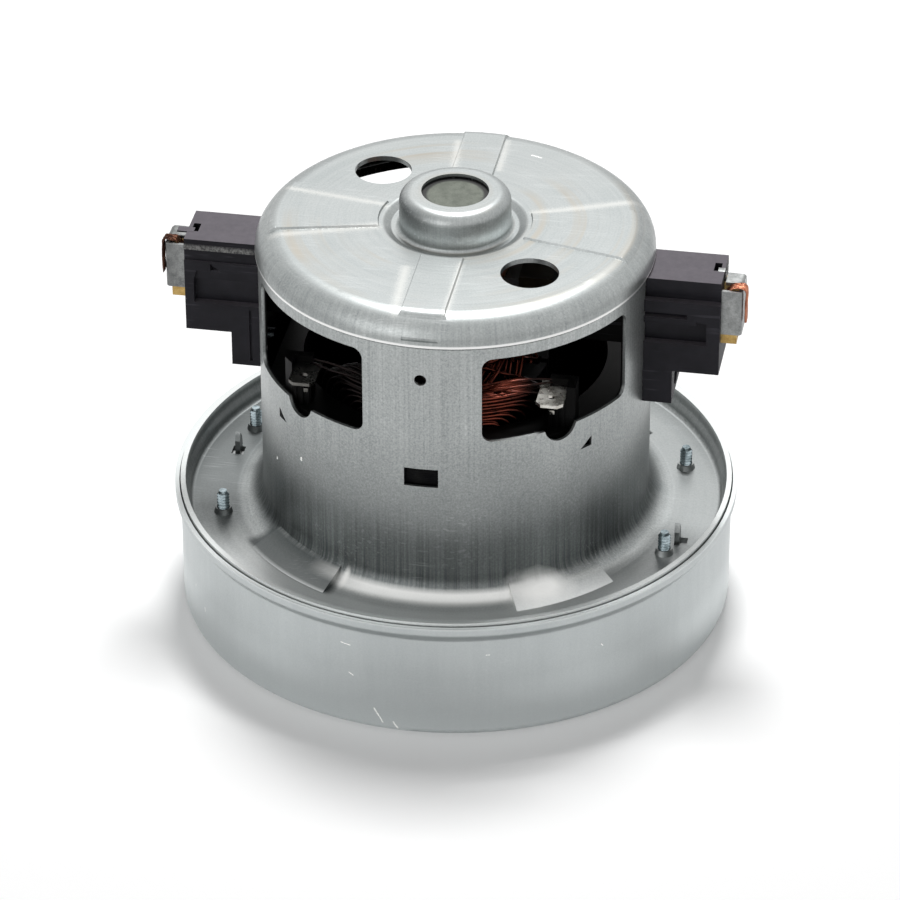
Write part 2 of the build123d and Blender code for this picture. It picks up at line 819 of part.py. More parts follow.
# Cover disc: it closes the boss under its round opening
with BuildPart() as bearing_cover_disc:
    with BuildSketch(Plane.XY.offset(disc_low)):
        Circle(boss_r - boss_edge_r - fit_gap)
    extrude(amount=cover_disc_sheet)
pieces["bearing_cover_disc"] = bearing_cover_disc

# The two bearings
for bearing, low in (("upper", upper_bearing_low), ("lower", lower_bearing_low)):
    middle = low + bearing_width / 2
    high = low + bearing_width
    with BuildPart() as outer_ring:
        with BuildSketch(Plane.XZ):
            with BuildLine():
                Polyline(
                    [
                        (outer_land_r, low),
                        (bearing_r - ring_chamfer, low),
                        (bearing_r, low + ring_chamfer),
                        (bearing_r, high - ring_chamfer),
                        (bearing_r - ring_chamfer, high),
                        (outer_land_r, high),
                    ],
                    close=True,
                )
            make_face()
            with Locations((ball_circle_r, middle)):
                Circle(race_r, mode=Mode.SUBTRACT)
        revolve(axis=Axis.Z)
    pieces[bearing + "_bearing_outer_ring"] = outer_ring
    with BuildPart() as inner_ring:
        with BuildSketch(Plane.XZ):
            with BuildLine():
                Polyline(
                    [
                        (shaft_r + press_gap, low),
                        (inner_land_r, low),
                        (inner_land_r, high),
                        (shaft_r + press_gap, high),
                    ],
                    close=True,
                )
            make_face()
            with Locations((ball_circle_r, middle)):
                Circle(race_r, mode=Mode.SUBTRACT)
        revolve(axis=Axis.Z)
    pieces[bearing + "_bearing_inner_ring"] = inner_ring
    with BuildPart(Plane(origin=(0, 0, middle))) as balls:
        with PolarLocations(ball_circle_r, ball_count):
            Sphere(ball_r)
    pieces[bearing + "_bearing_balls"] = balls
    with BuildPart(Plane(origin=(0, 0, middle))) as cage:
        with BuildSketch(Plane(origin=(0, 0, middle - cage_low))):
            Circle(cage_out_r)
            Circle(cage_in_r, mode=Mode.SUBTRACT)
        extrude(amount=cage_low + cage_high)
        with PolarLocations(ball_circle_r, ball_count):
            Sphere(cage_pocket_r, mode=Mode.SUBTRACT)
    pieces[bearing + "_bearing_cage"] = cage
    with BuildPart() as shields:
        for shield_low in (low + shield_inset, high - shield_inset - shield_sheet):
            with BuildSketch(Plane.XY.offset(shield_low)):
                Circle(outer_land_r - fit_gap)
                Circle(inner_land_r + shield_gap, mode=Mode.SUBTRACT)
            extrude(amount=shield_sheet)
    pieces[bearing + "_bearing_shields"] = shields

# Lower bracket: a spider with the lower bearing's cup at its centre
cup_out_r = bearing_r + fit_gap + bracket_sheet
cup_low = lower_bearing_low - bracket_sheet
with BuildPart() as lower_bracket:
    with BuildSketch(Plane.XY.offset(bracket_low)):
        Circle(bracket_ring_r)
        Circle(bracket_ring_in_r, mode=Mode.SUBTRACT)
        with PolarLocations(
            (bracket_hub_r + bracket_ring_in_r) / 2, bracket_spoke_count, start_angle=bracket_spoke_angle
        ):
            Rectangle(bracket_ring_in_r - bracket_hub_r + 2 * overrun, bracket_spoke_width)
        with GridLocations(2 * screw_x, 2 * screw_y, 2, 2):
            Circle(screw_hole_r, mode=Mode.SUBTRACT)
    extrude(amount=bracket_sheet)
    with BuildSketch(Plane.XZ):
        with BuildLine():
            FilletPolyline(
                [
                    (cup_hole_r, cup_low),
                    (cup_out_r, cup_low),
                    (cup_out_r, bracket_low),
                    (bracket_hub_r, bracket_low),
                ],
                radius=[cup_corner_r, cup_mouth_r],
            )
            offset(amount=bracket_sheet, side=Side.LEFT)
        make_face()
    revolve(axis=Axis.Z)
pieces["lower_bracket"] = lower_bracket

# Bearing retainer: a plate over the lower bearing
with BuildPart() as bearing_retainer:
    with BuildSketch(Plane.XY.offset(floor_low)):
        Circle(retainer_r)
        Circle(retainer_hole_r, mode=Mode.SUBTRACT)
    extrude(amount=retainer_sheet)
pieces["bearing_retainer"] = bearing_retainer

# Diffuser: a moulded disc with return vanes and four screw bosses
return_vane = curved_vane(return_vane_in_r, return_vane_out_r, return_vane_sweep, return_vane_sheet)
with BuildPart() as diffuser:
    with BuildSketch(Plane.XY.offset(diffuser_low)):
        Circle(diffuser_r)
        with GridLocations(2 * screw_x, 2 * screw_y, 2, 2):
            Circle(screw_boss_r)
        Circle(diffuser_hole_r, mode=Mode.SUBTRACT)
    extrude(amount=diffuser_sheet)
    with BuildSketch(Plane.XY.offset(diffuser_top)):
        with PolarLocations(0, return_vane_count):
            add(return_vane)
        with GridLocations(2 * screw_x, 2 * screw_y, 2, 2):
            Circle(screw_boss_r)
    extrude(amount=diffuser_channel)
    with BuildSketch(Plane.XY.offset(diffuser_low - overrun)):
        with GridLocations(2 * screw_x, 2 * screw_y, 2, 2):
            Circle(screw_hole_r)
    extrude(amount=diffuser_sheet + diffuser_channel + 2 * overrun, mode=Mode.SUBTRACT)
    with BuildSketch(Plane.XY.offset(diffuser_low + screw_recess_depth)):
        with GridLocations(2 * screw_x, 2 * screw_y, 2, 2):
            Circle(screw_recess_r)
    extrude(amount=-(screw_recess_depth + overrun), mode=Mode.SUBTRACT)
pieces["diffuser"] = diffuser

# One flange screw about its own axis: a pan head, a plain shank and a ringed thread
screw_head_low = diffuser_low + screw_recess_depth - screw_head_height
screw_head_high = screw_head_low + screw_head_height
screw_thread_top = screw_tip - screw_pitch
screw_ring_count = int(screw_thread_length / screw_pitch)
screw_points = [
    (0, screw_head_low),
    (screw_head_r - screw_head_chamfer, screw_head_low),
    (screw_head_r, screw_head_low + screw_head_chamfer),
    (screw_head_r, screw_head_high),
    (screw_root_r, screw_head_high),
]
for ring_number in range(screw_ring_count, 0, -1):
    ring_low = screw_thread_top - ring_number * screw_pitch
    screw_points.append((screw_root_r, ring_low))
    screw_points.append((screw_r, ring_low + screw_pitch / 2))
screw_points.append((screw_root_r, screw_thread_top))
screw_points.append((screw_tip_r, screw_tip))
screw_points.append((0, screw_tip))
with BuildPart() as one_screw:
    with BuildSketch(Plane.XZ):
        with BuildLine():
            Polyline(screw_points, close=True)
        make_face()
    revolve(axis=Axis.Z)
    with BuildSketch(Plane.XY.offset(screw_head_low + screw_drive_depth)):
        Rectangle(screw_drive_length, screw_drive_width)
        Rectangle(screw_drive_width, screw_drive_length)
    extrude(amount=-(screw_drive_depth + overrun), mode=Mode.SUBTRACT)
with BuildPart() as flange_screws:
    with GridLocations(2 * screw_x, 2 * screw_y, 2, 2):
        add(one_screw.part)
pieces["flange_screws"] = flange_screws

# Stator core: a stack of two-pole laminations
with BuildPart() as stator_core:
    extrude(lamination(core_r, core_flat_x, core_low), amount=core_height)
pieces["stator_core"] = stator_core

# Lower end insulator
with BuildPart() as stator_insulator_bottom:
    extrude(
        lamination(core_r - insulator_inset, core_flat_x - insulator_inset, insulator_low),
        amount=insulator_sheet,
    )
pieces["stator_insulator_bottom"] = stator_insulator_bottom

# Terminal posts: a ribbed block under each tab, a cheek beside it and a wall at its root
tab_low = post_top
tab_high = tab_low + tab_thickness
post_top_z = tab_high + post_cheek_rise
post_wall_y = post_back_y - post_back_width
with BuildPart() as terminal_posts:
    for tab_x in (left_tab_x, right_tab_x):
        sign = math.copysign(1, tab_x)
        inner_x = tab_x - sign * (tab_width / 2 - post_inset)
        cheek_x = tab_x + sign * (tab_width / 2 + fit_gap)
        outer_x = cheek_x + sign * post_cheek_width
        with BuildSketch(Plane.XY.offset(core_high)):
            with Locations(((inner_x + outer_x) / 2, (post_front_y + post_back_y) / 2)):
                Rectangle(abs(outer_x - inner_x), post_back_y - post_front_y)
            with Locations(((inner_x + cheek_x) / 2, post_front_y)):
                with GridLocations(post_rib_pitch, 0, post_rib_count, 1):
                    Rectangle(post_rib_width, 2 * post_rib_depth)
        extrude(amount=post_top - core_high)
        with BuildSketch(Plane.XY.offset(post_top)):
            with Locations(((cheek_x + outer_x) / 2, (post_front_y + post_back_y) / 2)):
                Rectangle(post_cheek_width, post_back_y - post_front_y)
            with Locations(((inner_x + outer_x) / 2, (post_wall_y + post_back_y) / 2)):
                Rectangle(abs(outer_x - inner_x), post_back_width)
        extrude(amount=post_top_z - post_top)
    with BuildSketch(Plane.XY.offset(core_high)):
        Circle(post_reach_r)
    extrude(amount=post_top_z - core_high, mode=Mode.INTERSECT)

# Upper end insulator, with the terminal posts moulded on
with BuildPart() as stator_insulator_top:
    extrude(
        lamination(core_r - insulator_inset, core_flat_x - insulator_inset, core_high),
        amount=insulator_sheet,
    )
    add(terminal_posts.part)
    for tab_x in (left_tab_x, right_tab_x):
        with BuildSketch(Plane.XY.offset(tab_low)):
            with Locations((tab_x, post_wall_y)):
                Rectangle(tab_width + 2 * fit_gap, 2 * (post_back_width - fit_gap))
        extrude(amount=tab_thickness + fit_gap, mode=Mode.SUBTRACT)
pieces["stator_insulator_top"] = stator_insulator_top

# Terminal tabs, flat, with a bevelled tip and a small hole
for name, tab_x in (("terminal_blade_left", left_tab_x), ("terminal_blade_right", right_tab_x)):
    tab_root_y = post_wall_y + post_back_width - 2 * fit_gap
    with BuildPart() as terminal_blade:
        with BuildSketch(Plane.XY.offset(tab_low)):
            with BuildLine():
                Polyline(
                    [
                        (tab_x - tab_width / 2, tab_root_y),
                        (tab_x - tab_width / 2, tab_tip_y + tab_bevel),
                        (tab_x - tab_width / 2 + tab_bevel, tab_tip_y),
                        (tab_x + tab_width / 2 - tab_bevel, tab_tip_y),
                        (tab_x + tab_width / 2, tab_tip_y + tab_bevel),
                        (tab_x + tab_width / 2, tab_root_y),
                    ],
                    close=True,
                )
            make_face()
            with Locations((tab_x, tab_tip_y + tab_hole_inset)):
                Circle(tab_hole_r, mode=Mode.SUBTRACT)
        extrude(amount=tab_thickness)
    pieces[name] = terminal_blade

# Field coils: a saddle wound round each pole's neck
coil_window_angle = math.degrees(math.asin((pole_neck_width / 2 + coil_gap) / coil_in_r))
for name, middle in (("field_coil_front", front), ("field_coil_rear", rear)):
    with BuildPart() as coil_window:
        extrude(
            ring_sector(coil_in_r - overrun, coil_out_r + overrun, middle, coil_window_angle, insulator_low),
            amount=insulator_top - insulator_low,
        )
        fillet(
            coil_window.edges().filter_by(GeomType.LINE).filter_by(Axis.Z, reverse=True),
            radius=coil_window_r,
        )
    with BuildPart() as field_coil:
        extrude(
            ring_sector(coil_in_r, coil_out_r, middle, coil_half_angle, coil_low),
            amount=coil_high - coil_low,
        )
        fillet(
            field_coil.edges().filter_by(GeomType.LINE).filter_by(Axis.Z, reverse=True),
            radius=coil_corner_r,
        )
        add(coil_window.part, mode=Mode.SUBTRACT)
    pieces[name] = field_coil

# Shaft: threaded lower end, two bearing seats and a thicker body between them
shaft_low = nut_low - shaft_end
shaft_high = disc_low - shaft_top_gap
with BuildPart() as shaft:
    with BuildSketch(Plane.XZ):
        with BuildLine():
            Polyline(
                [
                    (0, shaft_low),
                    (shaft_thread_r - shaft_chamfer, shaft_low),
                    (shaft_thread_r, shaft_low + shaft_chamfer),
                    (shaft_thread_r, washer_low),
                    (shaft_r, washer_low),
                    (shaft_r, floor_low),
                    (shaft_body_r, floor_low),
                    (shaft_body_r, upper_bearing_low),
                    (shaft_r, upper_bearing_low),
                    (shaft_r, shaft_high - shaft_chamfer),
                    (shaft_r - shaft_chamfer, shaft_high),
                    (0, shaft_high),
                ],
                close=True,
            )
        make_face()
    revolve(axis=Axis.Z)
pieces["shaft"] = shaft

# Armature core: slotted laminations on the shaft
slot_middle_r = (armature_slot_low_r + armature_slot_high_r) / 2
with BuildPart() as armature_core:
    with BuildSketch(Plane.XY.offset(core_low)):
        Circle(armature_r)
        with PolarLocations(slot_middle_r, armature_slot_count):
            Rectangle(armature_slot_high_r - armature_slot_low_r, armature_slot_width, mode=Mode.SUBTRACT)
        with PolarLocations((armature_slot_high_r + armature_r + overrun) / 2, armature_slot_count):
            Rectangle(armature_r + 2 * overrun - armature_slot_high_r, armature_slot_mouth, mode=Mode.SUBTRACT)
        Circle(shaft_body_r + press_gap, mode=Mode.SUBTRACT)
    extrude(amount=core_height)
pieces["armature_core"] = armature_core

# Armature winding: bars in the slots, joined by a rounded ring at each end
winding_out_r = armature_slot_high_r - 2 * winding_gap
with BuildPart() as armature_winding:
    for ring_low in (core_low - winding_end_height, core_high):
        with BuildSketch(Plane.XY.offset(ring_low)):
            Circle(winding_out_r)
            Circle(winding_end_in_r, mode=Mode.SUBTRACT)
        extrude(amount=winding_end_height)
    fillet(armature_winding.edges().group_by(Axis.Z)[-1], radius=winding_end_round)
    fillet(armature_winding.edges().group_by(Axis.Z)[0], radius=winding_end_round)
    with BuildSketch(Plane.XY.offset(core_low)):
        with PolarLocations(slot_middle_r, armature_slot_count):
            Rectangle(
                armature_slot_high_r - armature_slot_low_r - 4 * winding_gap,
                armature_slot_width - 2 * winding_gap,
            )
    extrude(amount=core_height)
pieces["armature_winding"] = armature_winding

# Commutator: an insulating hub and its copper bars
with BuildPart() as commutator_hub:
    with BuildSketch(Plane.XY.offset(commutator_low)):
        Circle(commutator_hub_r)
        Circle(shaft_body_r + press_gap, mode=Mode.SUBTRACT)
    extrude(amount=commutator_height)
pieces["commutator_hub"] = commutator_hub
bar_in_r = commutator_hub_r + press_gap
with BuildPart() as commutator_bars:
    with BuildSketch(Plane.XZ):
        with BuildLine():
            Polyline(
                [
                    (bar_in_r, commutator_low),
                    (riser_r, commutator_low),
                    (riser_r, commutator_low + riser_height),
                    (commutator_r, commutator_low + riser_height),
                    (commutator_r, commutator_high),
                    (bar_in_r, commutator_high),
                ],
                close=True,
            )
        make_face()
    revolve(axis=Axis.Z)
    with BuildSketch(Plane.XY.offset(commutator_low - overrun)):
        with PolarLocations((bar_in_r + riser_r) / 2, commutator_bar_count):
            Rectangle(riser_r - bar_in_r + overrun, commutator_slit)
    extrude(amount=commutator_height + 2 * overrun, mode=Mode.SUBTRACT)
pieces["commutator_bars"] = commutator_bars

# Impeller: two plates with curved vanes between them, clamped by a washer and a nut
impeller_vane = curved_vane(vane_in_r, vane_out_r, vane_sweep, vane_sheet)
with BuildPart() as impeller_front_plate:
    with BuildSketch(Plane.XY.offset(front_plate_low)):
        Circle(impeller_r)
        Circle(impeller_eye_r, mode=Mode.SUBTRACT)
    extrude(amount=impeller_sheet)
pieces["impeller_front_plate"] = impeller_front_plate
with BuildPart() as impeller_vanes:
    with BuildSketch(Plane.XY.offset(vane_low)):
        with PolarLocations(0, vane_count):
            add(impeller_vane)
    extrude(amount=vane_height)
pieces["impeller_vanes"] = impeller_vanes
with BuildPart() as impeller_back_plate:
    with BuildSketch(Plane.XY.offset(back_plate_low)):
        Circle(impeller_r)
        Circle(shaft_r + press_gap, mode=Mode.SUBTRACT)
    extrude(amount=impeller_sheet)
pieces["impeller_back_plate"] = impeller_back_plate
with BuildPart() as impeller_spacer:
    with BuildSketch(Plane.XY.offset(back_plate_high)):
        Circle(spacer_r)
        Circle(shaft_r + press_gap, mode=Mode.SUBTRACT)
    extrude(amount=lower_bearing_low - back_plate_high)
pieces["impeller_spacer"] = impeller_spacer
with BuildPart() as impeller_washer:
    with BuildSketch(Plane.XY.offset(washer_low)):
        Circle(washer_r)
        Circle(shaft_r + press_gap, mode=Mode.SUBTRACT)
    extrude(amount=washer_height)
pieces["impeller_washer"] = impeller_washer
with BuildPart() as impeller_nut:
    with BuildSketch(Plane.XY.offset(nut_low)):
        RegularPolygon(nut_across / 2, 6, major_radius=False)
        Circle(shaft_thread_r + press_gap, mode=Mode.SUBTRACT)
    extrude(amount=nut_height)
    with BuildSketch(Plane.XY.offset(nut_low)):
        Circle(nut_across / 2)
    extrude(amount=nut_height, taper=-45, mode=Mode.INTERSECT)
pieces["impeller_nut"] = impeller_nut

# Brush holder on +X: a moulded box outside the can, a foot below it and a nose inside
with BuildPart() as brush_holder_right:
    with BuildSketch(Plane.XZ):
        with BuildLine():
            Polyline(
                [
                    (can_in_r, holder_foot_low),
                    (holder_foot_x, holder_foot_low),
                    (holder_foot_x, holder_low),
                    (holder_outer_x, holder_low),
                    (holder_outer_x, holder_top),
                    (can_in_r - overrun, holder_top),
                    (can_in_r - overrun, holder_foot_low),
                ],
                close=True,
            )
        make_face()
    extrude(amount=holder_half_width, both=True)
    with BuildSketch(Plane.XY.offset(holder_foot_low - overrun)):
        Circle(can_r + fit_gap)
    extrude(amount=holder_top - holder_foot_low + 2 * overrun, mode=Mode.SUBTRACT)
    with BuildSketch(Plane.YZ.offset(holder_nose_x)):
        with Locations((0, brush_z)):
            Rectangle(2 * nose_out_y, 2 * nose_out_z)
    extrude(amount=can_r + overrun - holder_nose_x)
    # Undercut below the front top edge, and a chamfer with a shallow band on the rear
    with BuildSketch(Plane.YZ.offset(can_in_r)):
        with BuildLine():
            Polyline(
                [
                    (-undercut_top_y, holder_top + overrun),
                    (-undercut_top_y, holder_top),
                    (-undercut_low_y, undercut_low),
                    (-undercut_low_y, undercut_shelf),
                    (-holder_half_width - overrun, undercut_shelf),
                    (-holder_half_width - overrun, holder_top + overrun),
                ],
                close=True,
            )
        make_face()
        with BuildLine():
            Polyline(
                [
                    (chamfer_top_y, holder_top + overrun),
                    (chamfer_top_y, holder_top),
                    (holder_half_width, chamfer_low),
                    (holder_half_width - band_depth, chamfer_low),
                    (holder_half_width - band_depth, band_low),
                    (holder_half_width + overrun, band_low),
                    (holder_half_width + overrun, holder_top + overrun),
                ],
                close=True,
            )
        make_face()
    extrude(amount=holder_outer_x + overrun - can_in_r, mode=Mode.SUBTRACT)
    # Recesses in the front side, seen from the front of the unit
    with BuildSketch(Plane.XZ.offset(holder_half_width + overrun)):
        with BuildLine():
            Polyline(
                [
                    (can_in_r, slot_a_high),
                    (slot_a_x, slot_a_high),
                    (slot_a_x, slot_a_low),
                    (can_in_r, slot_a_low),
                ],
                close=True,
            )
        make_face()
    extrude(amount=-(slot_a_depth + overrun), mode=Mode.SUBTRACT)
    with BuildSketch(Plane.XZ.offset(holder_half_width + overrun)):
        with BuildLine():
            Polyline(
                [
                    (can_in_r, slot_b_high),
                    (slot_step_x, slot_b_high),
                    (slot_step_x, slot_step_high),
                    (slot_b_x, slot_step_high),
                    (slot_b_x, slot_b_low),
                    (can_in_r, slot_b_low),
                ],
                close=True,
            )
        make_face()
    extrude(amount=-(slot_b_depth + overrun), mode=Mode.SUBTRACT)
    # Recesses in the rear side
    with BuildSketch(Plane.XZ.offset(-holder_half_width - overrun)):
        with BuildLine():
            Polyline(
                [
                    (can_in_r, recess_high),
                    (recess_x, recess_high),
                    (recess_x, recess_low),
                    (can_in_r, recess_low),
                ],
                close=True,
            )
        make_face()
    extrude(amount=recess_depth + overrun, mode=Mode.SUBTRACT)
    with BuildSketch(Plane.XZ.offset(-holder_half_width - overrun)):
        with BuildLine():
            Polyline(
                [
                    (can_in_r, ledge_high),
                    (ledge_x, ledge_high),
                    (recess_x, recess_high),
                    (can_in_r, recess_high),
                ],
                close=True,
            )
        make_face()
    extrude(amount=ledge_depth + overrun, mode=Mode.SUBTRACT)
    with BuildSketch(Plane.XZ.offset(-holder_half_width - overrun)):
        with BuildLine():
            Polyline(
                [
                    (tooth_in_x, ledge_high),
                    (tooth_out_x, ledge_high),
                    (tooth_out_x, tooth_high),
                ],
                close=True,
            )
        make_face()
    extrude(amount=tooth_depth + overrun, mode=Mode.SUBTRACT)
    with BuildSketch(Plane.XZ.offset(-holder_half_width - overrun)):
        with BuildLine():
            Polyline(
                [
                    (groove_in_x, groove_high),
                    (groove_out_x, groove_high),
                    (groove_out_x, groove_low),
                    (groove_in_x, groove_low),
                ],
                close=True,
            )
        make_face()
    extrude(amount=groove_depth + overrun, mode=Mode.SUBTRACT)
    # A small opening in the top plate at its outer end
    with BuildSketch(Plane.XY.offset(holder_top - hook_depth)):
        with BuildLine():
            Polyline(
                [
                    (hook_in_x, hook_near_y),
                    (hook_out_x, hook_near_y),
                    (hook_out_x, hook_far_y),
                    (hook_in_x, hook_far_y),
                ],
                close=True,
            )
        make_face()
    extrude(amount=hook_depth + overrun, mode=Mode.SUBTRACT)
    # Passage of the brush tube
    with BuildSketch(Plane.YZ.offset(holder_nose_x - overrun)):
        with Locations((0, brush_z)):
            Rectangle(2 * (tube_out_y + fit_gap), 2 * (tube_out_z + fit_gap))
    extrude(amount=holder_outer_x - holder_nose_x + 2 * overrun, mode=Mode.SUBTRACT)
    # Screw hole and head recess in the foot
    with BuildSketch(Plane.YZ.offset(can_in_r - overrun)):
        with Locations((0, holder_screw_z)):
            Circle(holder_screw_r + fit_gap)
    extrude(amount=holder_foot_x + 2 * overrun - can_in_r, mode=Mode.SUBTRACT)
    with BuildSketch(Plane.YZ.offset(holder_foot_x - holder_screw_recess)):
        with Locations((0, holder_screw_z)):
            Circle(holder_screw_recess_r)
    extrude(amount=holder_screw_recess + overrun, mode=Mode.SUBTRACT)
pieces["brush_holder_right"] = brush_holder_right
with BuildPart() as brush_holder_left:
    add(brush_holder_right.part, rotation=(0, 0, half_turn))
pieces["brush_holder_left"] = brush_holder_left

# Brush tubes
with BuildPart() as brush_tube_right:
    with BuildSketch(Plane.YZ.offset(tube_inner_x)):
        with Locations((0, brush_z)):
            Rectangle(2 * tube_out_y, 2 * tube_out_z)
            Rectangle(2 * tube_in_y, 2 * tube_in_z, mode=Mode.SUBTRACT)
    extrude(amount=tube_outer_x - tube_inner_x)
pieces["brush_tube_right"] = brush_tube_right
with BuildPart() as brush_tube_left:
    add(brush_tube_right.part, rotation=(0, 0, half_turn))
pieces["brush_tube_left"] = brush_tube_left

# Carbon brushes, hollowed to the commutator's curve
with BuildPart() as carbon_brush_right:
    with BuildSketch(Plane.YZ):
        with Locations((0, brush_z)):
            Rectangle(brush_width, brush_height)
    extrude(amount=brush_end_x)
    with BuildSketch(Plane.XY.offset(brush_z - brush_height / 2 - overrun)):
        Circle(brush_face_x)
    extrude(amount=brush_height + 2 * overrun, mode=Mode.SUBTRACT)
pieces["carbon_brush_right"] = carbon_brush_right
with BuildPart() as carbon_brush_left:
    add(carbon_brush_right.part, rotation=(0, 0, half_turn))
pieces["carbon_brush_left"] = carbon_brush_left

# Brush clips: a leg beside the tube, a face over its end and a tab over its top
clip_in_x = clip_out_x - clip_sheet
clip_leg_x = holder_outer_x + fit_gap
clip_tab_low = clip_tab_top - clip_sheet
with BuildPart() as brush_clip_right:
    with BuildSketch(Plane.XY.offset(clip_leg_low)):
        with BuildLine():
            FilletPolyline(
                [
                    (clip_leg_x, -clip_leg_y),
                    (clip_out_x, -clip_leg_y),
                    (clip_out_x, clip_half_width),
                ],
                radius=[clip_bend_r],
            )
            offset(amount=clip_sheet, side=Side.LEFT)
        make_face()
    extrude(amount=clip_leg_high - clip_leg_low)
    with BuildSketch(Plane.XZ.offset(-clip_half_width)):
        with BuildLine():
            FilletPolyline(
                [
                    (clip_tab_in_x, clip_tab_top),
                    (clip_out_x, clip_tab_top),
                    (clip_out_x, clip_leg_high - clip_bend_r - clip_sheet),
                ],
                radius=[clip_bend_r],
            )
            offset(amount=clip_sheet, side=Side.RIGHT)
        make_face()
    extrude(amount=2 * clip_half_width)
pieces["brush_clip_right"] = brush_clip_right
with BuildPart() as brush_clip_left:
    mirror(brush_clip_right.part, about=Plane.YZ)
pieces["brush_clip_left"] = brush_clip_left

# Brush leads: a short stranded wire from under the clip, over its edge and down its face
lead_out_x = clip_out_x + lead_r + fit_gap
lead_start_z = tube_high + lead_r + lead_start_rise
with BuildPart() as brush_lead_right:
    with BuildLine() as lead_path:
        FilletPolyline(
            [
                (lead_start_x, lead_y, lead_start_z),
                (lead_out_x, lead_y, lead_top_z),
                (lead_out_x, lead_y, lead_low_z),
            ],
            radius=lead_bend_r,
        )
    with BuildSketch(lead_path.line ^ 0):
        Circle(lead_r)
    sweep()
pieces["brush_lead_right"] = brush_lead_right
with BuildPart() as brush_lead_left:
    mirror(brush_lead_right.part, about=Plane.YZ)
pieces["brush_lead_left"] = brush_lead_left

# Brush springs, drawn as the sleeve of space that each one fills
with BuildPart() as brush_spring_right:
    with BuildSketch(Plane.YZ.offset(brush_end_x)):
        with Locations((0, brush_z)):
            Circle(spring_r)
            Circle(spring_r - spring_wire, mode=Mode.SUBTRACT)
    extrude(amount=clip_in_x - spring_end_gap - brush_end_x)
pieces["brush_spring_right"] = brush_spring_right
with BuildPart() as brush_spring_left:
    add(brush_spring_right.part, rotation=(0, 0, half_turn))
pieces["brush_spring_left"] = brush_spring_left

# Holder screws, one through each holder's foot into the can wall
holder_head_x = holder_foot_x - holder_screw_recess
with BuildPart() as one_holder_screw:
    with BuildSketch(Plane.YZ.offset(can_in_r - holder_screw_reach)):
        with Locations((0, holder_screw_z)):
            Circle(holder_screw_r)
    extrude(amount=holder_head_x + holder_screw_reach - can_in_r)
    with BuildSketch(Plane.YZ.offset(holder_head_x)):
        with Locations((0, holder_screw_z)):
            Circle(holder_screw_head_r)
    extrude(amount=holder_screw_head_height)
    with BuildSketch(Plane.YZ.offset(holder_head_x + holder_screw_head_height - screw_drive_depth)):
        with Locations((0, holder_screw_z)):
            Rectangle(screw_drive_length, screw_drive_width)
            Rectangle(screw_drive_width, screw_drive_length)
    extrude(amount=screw_drive_depth + overrun, mode=Mode.SUBTRACT)
with BuildPart() as holder_screws:
    add(one_holder_screw.part)
    add(one_holder_screw.part, rotation=(0, 0, half_turn))
pieces["holder_screws"] = holder_screws

os.makedirs("parts", exist_ok=True)
for name, piece in pieces.items():
    piece.part.label = name
    export_step(piece.part, f"parts/{name}.step")
    print(name, len(piece.part.solids()), round(piece.part.volume, 1))
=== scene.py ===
import math
import random

import bmesh
import bpy
from mathutils import Matrix, Vector


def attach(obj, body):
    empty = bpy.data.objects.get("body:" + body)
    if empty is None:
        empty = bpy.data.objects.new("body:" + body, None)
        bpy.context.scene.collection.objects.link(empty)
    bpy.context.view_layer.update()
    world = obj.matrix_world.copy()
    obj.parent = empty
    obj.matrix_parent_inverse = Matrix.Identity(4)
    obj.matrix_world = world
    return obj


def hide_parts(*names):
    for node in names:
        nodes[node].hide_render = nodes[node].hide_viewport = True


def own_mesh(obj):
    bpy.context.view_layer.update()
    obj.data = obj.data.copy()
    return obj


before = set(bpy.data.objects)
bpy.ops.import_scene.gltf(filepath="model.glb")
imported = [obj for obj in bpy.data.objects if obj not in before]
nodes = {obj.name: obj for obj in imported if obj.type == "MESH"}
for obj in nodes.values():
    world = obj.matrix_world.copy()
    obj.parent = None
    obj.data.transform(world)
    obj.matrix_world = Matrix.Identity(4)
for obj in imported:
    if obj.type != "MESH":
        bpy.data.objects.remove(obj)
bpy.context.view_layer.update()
random.seed(11)
mm = 0.001  # lengths below are in mm and angles in degrees, but camera, studio and bump depths are in metres
print("frame loaded,", len(nodes), "nodes")

# Camera: the photograph's own view, long lens from the front and above
viewpoint = {
    "place": (0.177071, -0.994069, 0.676627),
    "turn": 10.183,
    "tilt": 57.635,
    "roll": -0.238,
    "lens": 199.395,
    "sensorWidth": 36,
    "clip": (0.01, 20),
}
cameraData = bpy.data.cameras.new("photoCamera")
cameraData.lens = viewpoint["lens"]
cameraData.sensor_width = viewpoint["sensorWidth"]
cameraData.clip_start, cameraData.clip_end = viewpoint["clip"]
camera = bpy.data.objects.new("photoCamera", cameraData)
camera.matrix_world = (
    Matrix.Translation(viewpoint["place"])
    @ Matrix.Rotation(math.radians(viewpoint["turn"]), 4, "Z")
    @ Matrix.Rotation(math.radians(viewpoint["tilt"]), 4, "X")
    @ Matrix.Rotation(math.radians(viewpoint["roll"]), 4, "Z")
)
bpy.context.scene.collection.objects.link(camera)
bpy.context.scene.camera = camera
bpy.context.scene.view_settings.view_transform = "Standard"


# Short ways to write shader nodes. A value may be a number, a tuple or another node's socket
def feed(tree, socket, value):
    if isinstance(value, bpy.types.NodeSocket):
        tree.links.new(value, socket)
    else:
        socket.default_value = value


def mathNode(tree, operation, first, second=0.0, clamp=False):
    made = tree.nodes.new("ShaderNodeMath")
    made.operation = operation
    made.use_clamp = clamp
    feed(tree, made.inputs[0], first)
    feed(tree, made.inputs[1], second)
    return made.outputs[0]


def vectorNode(tree, operation, first, second=(0, 0, 0)):
    made = tree.nodes.new("ShaderNodeVectorMath")
    made.operation = operation
    feed(tree, made.inputs[0], first)
    feed(tree, made.inputs[1], second)
    return made.outputs["Value"] if operation in ("LENGTH", "DOT_PRODUCT") else made.outputs["Vector"]


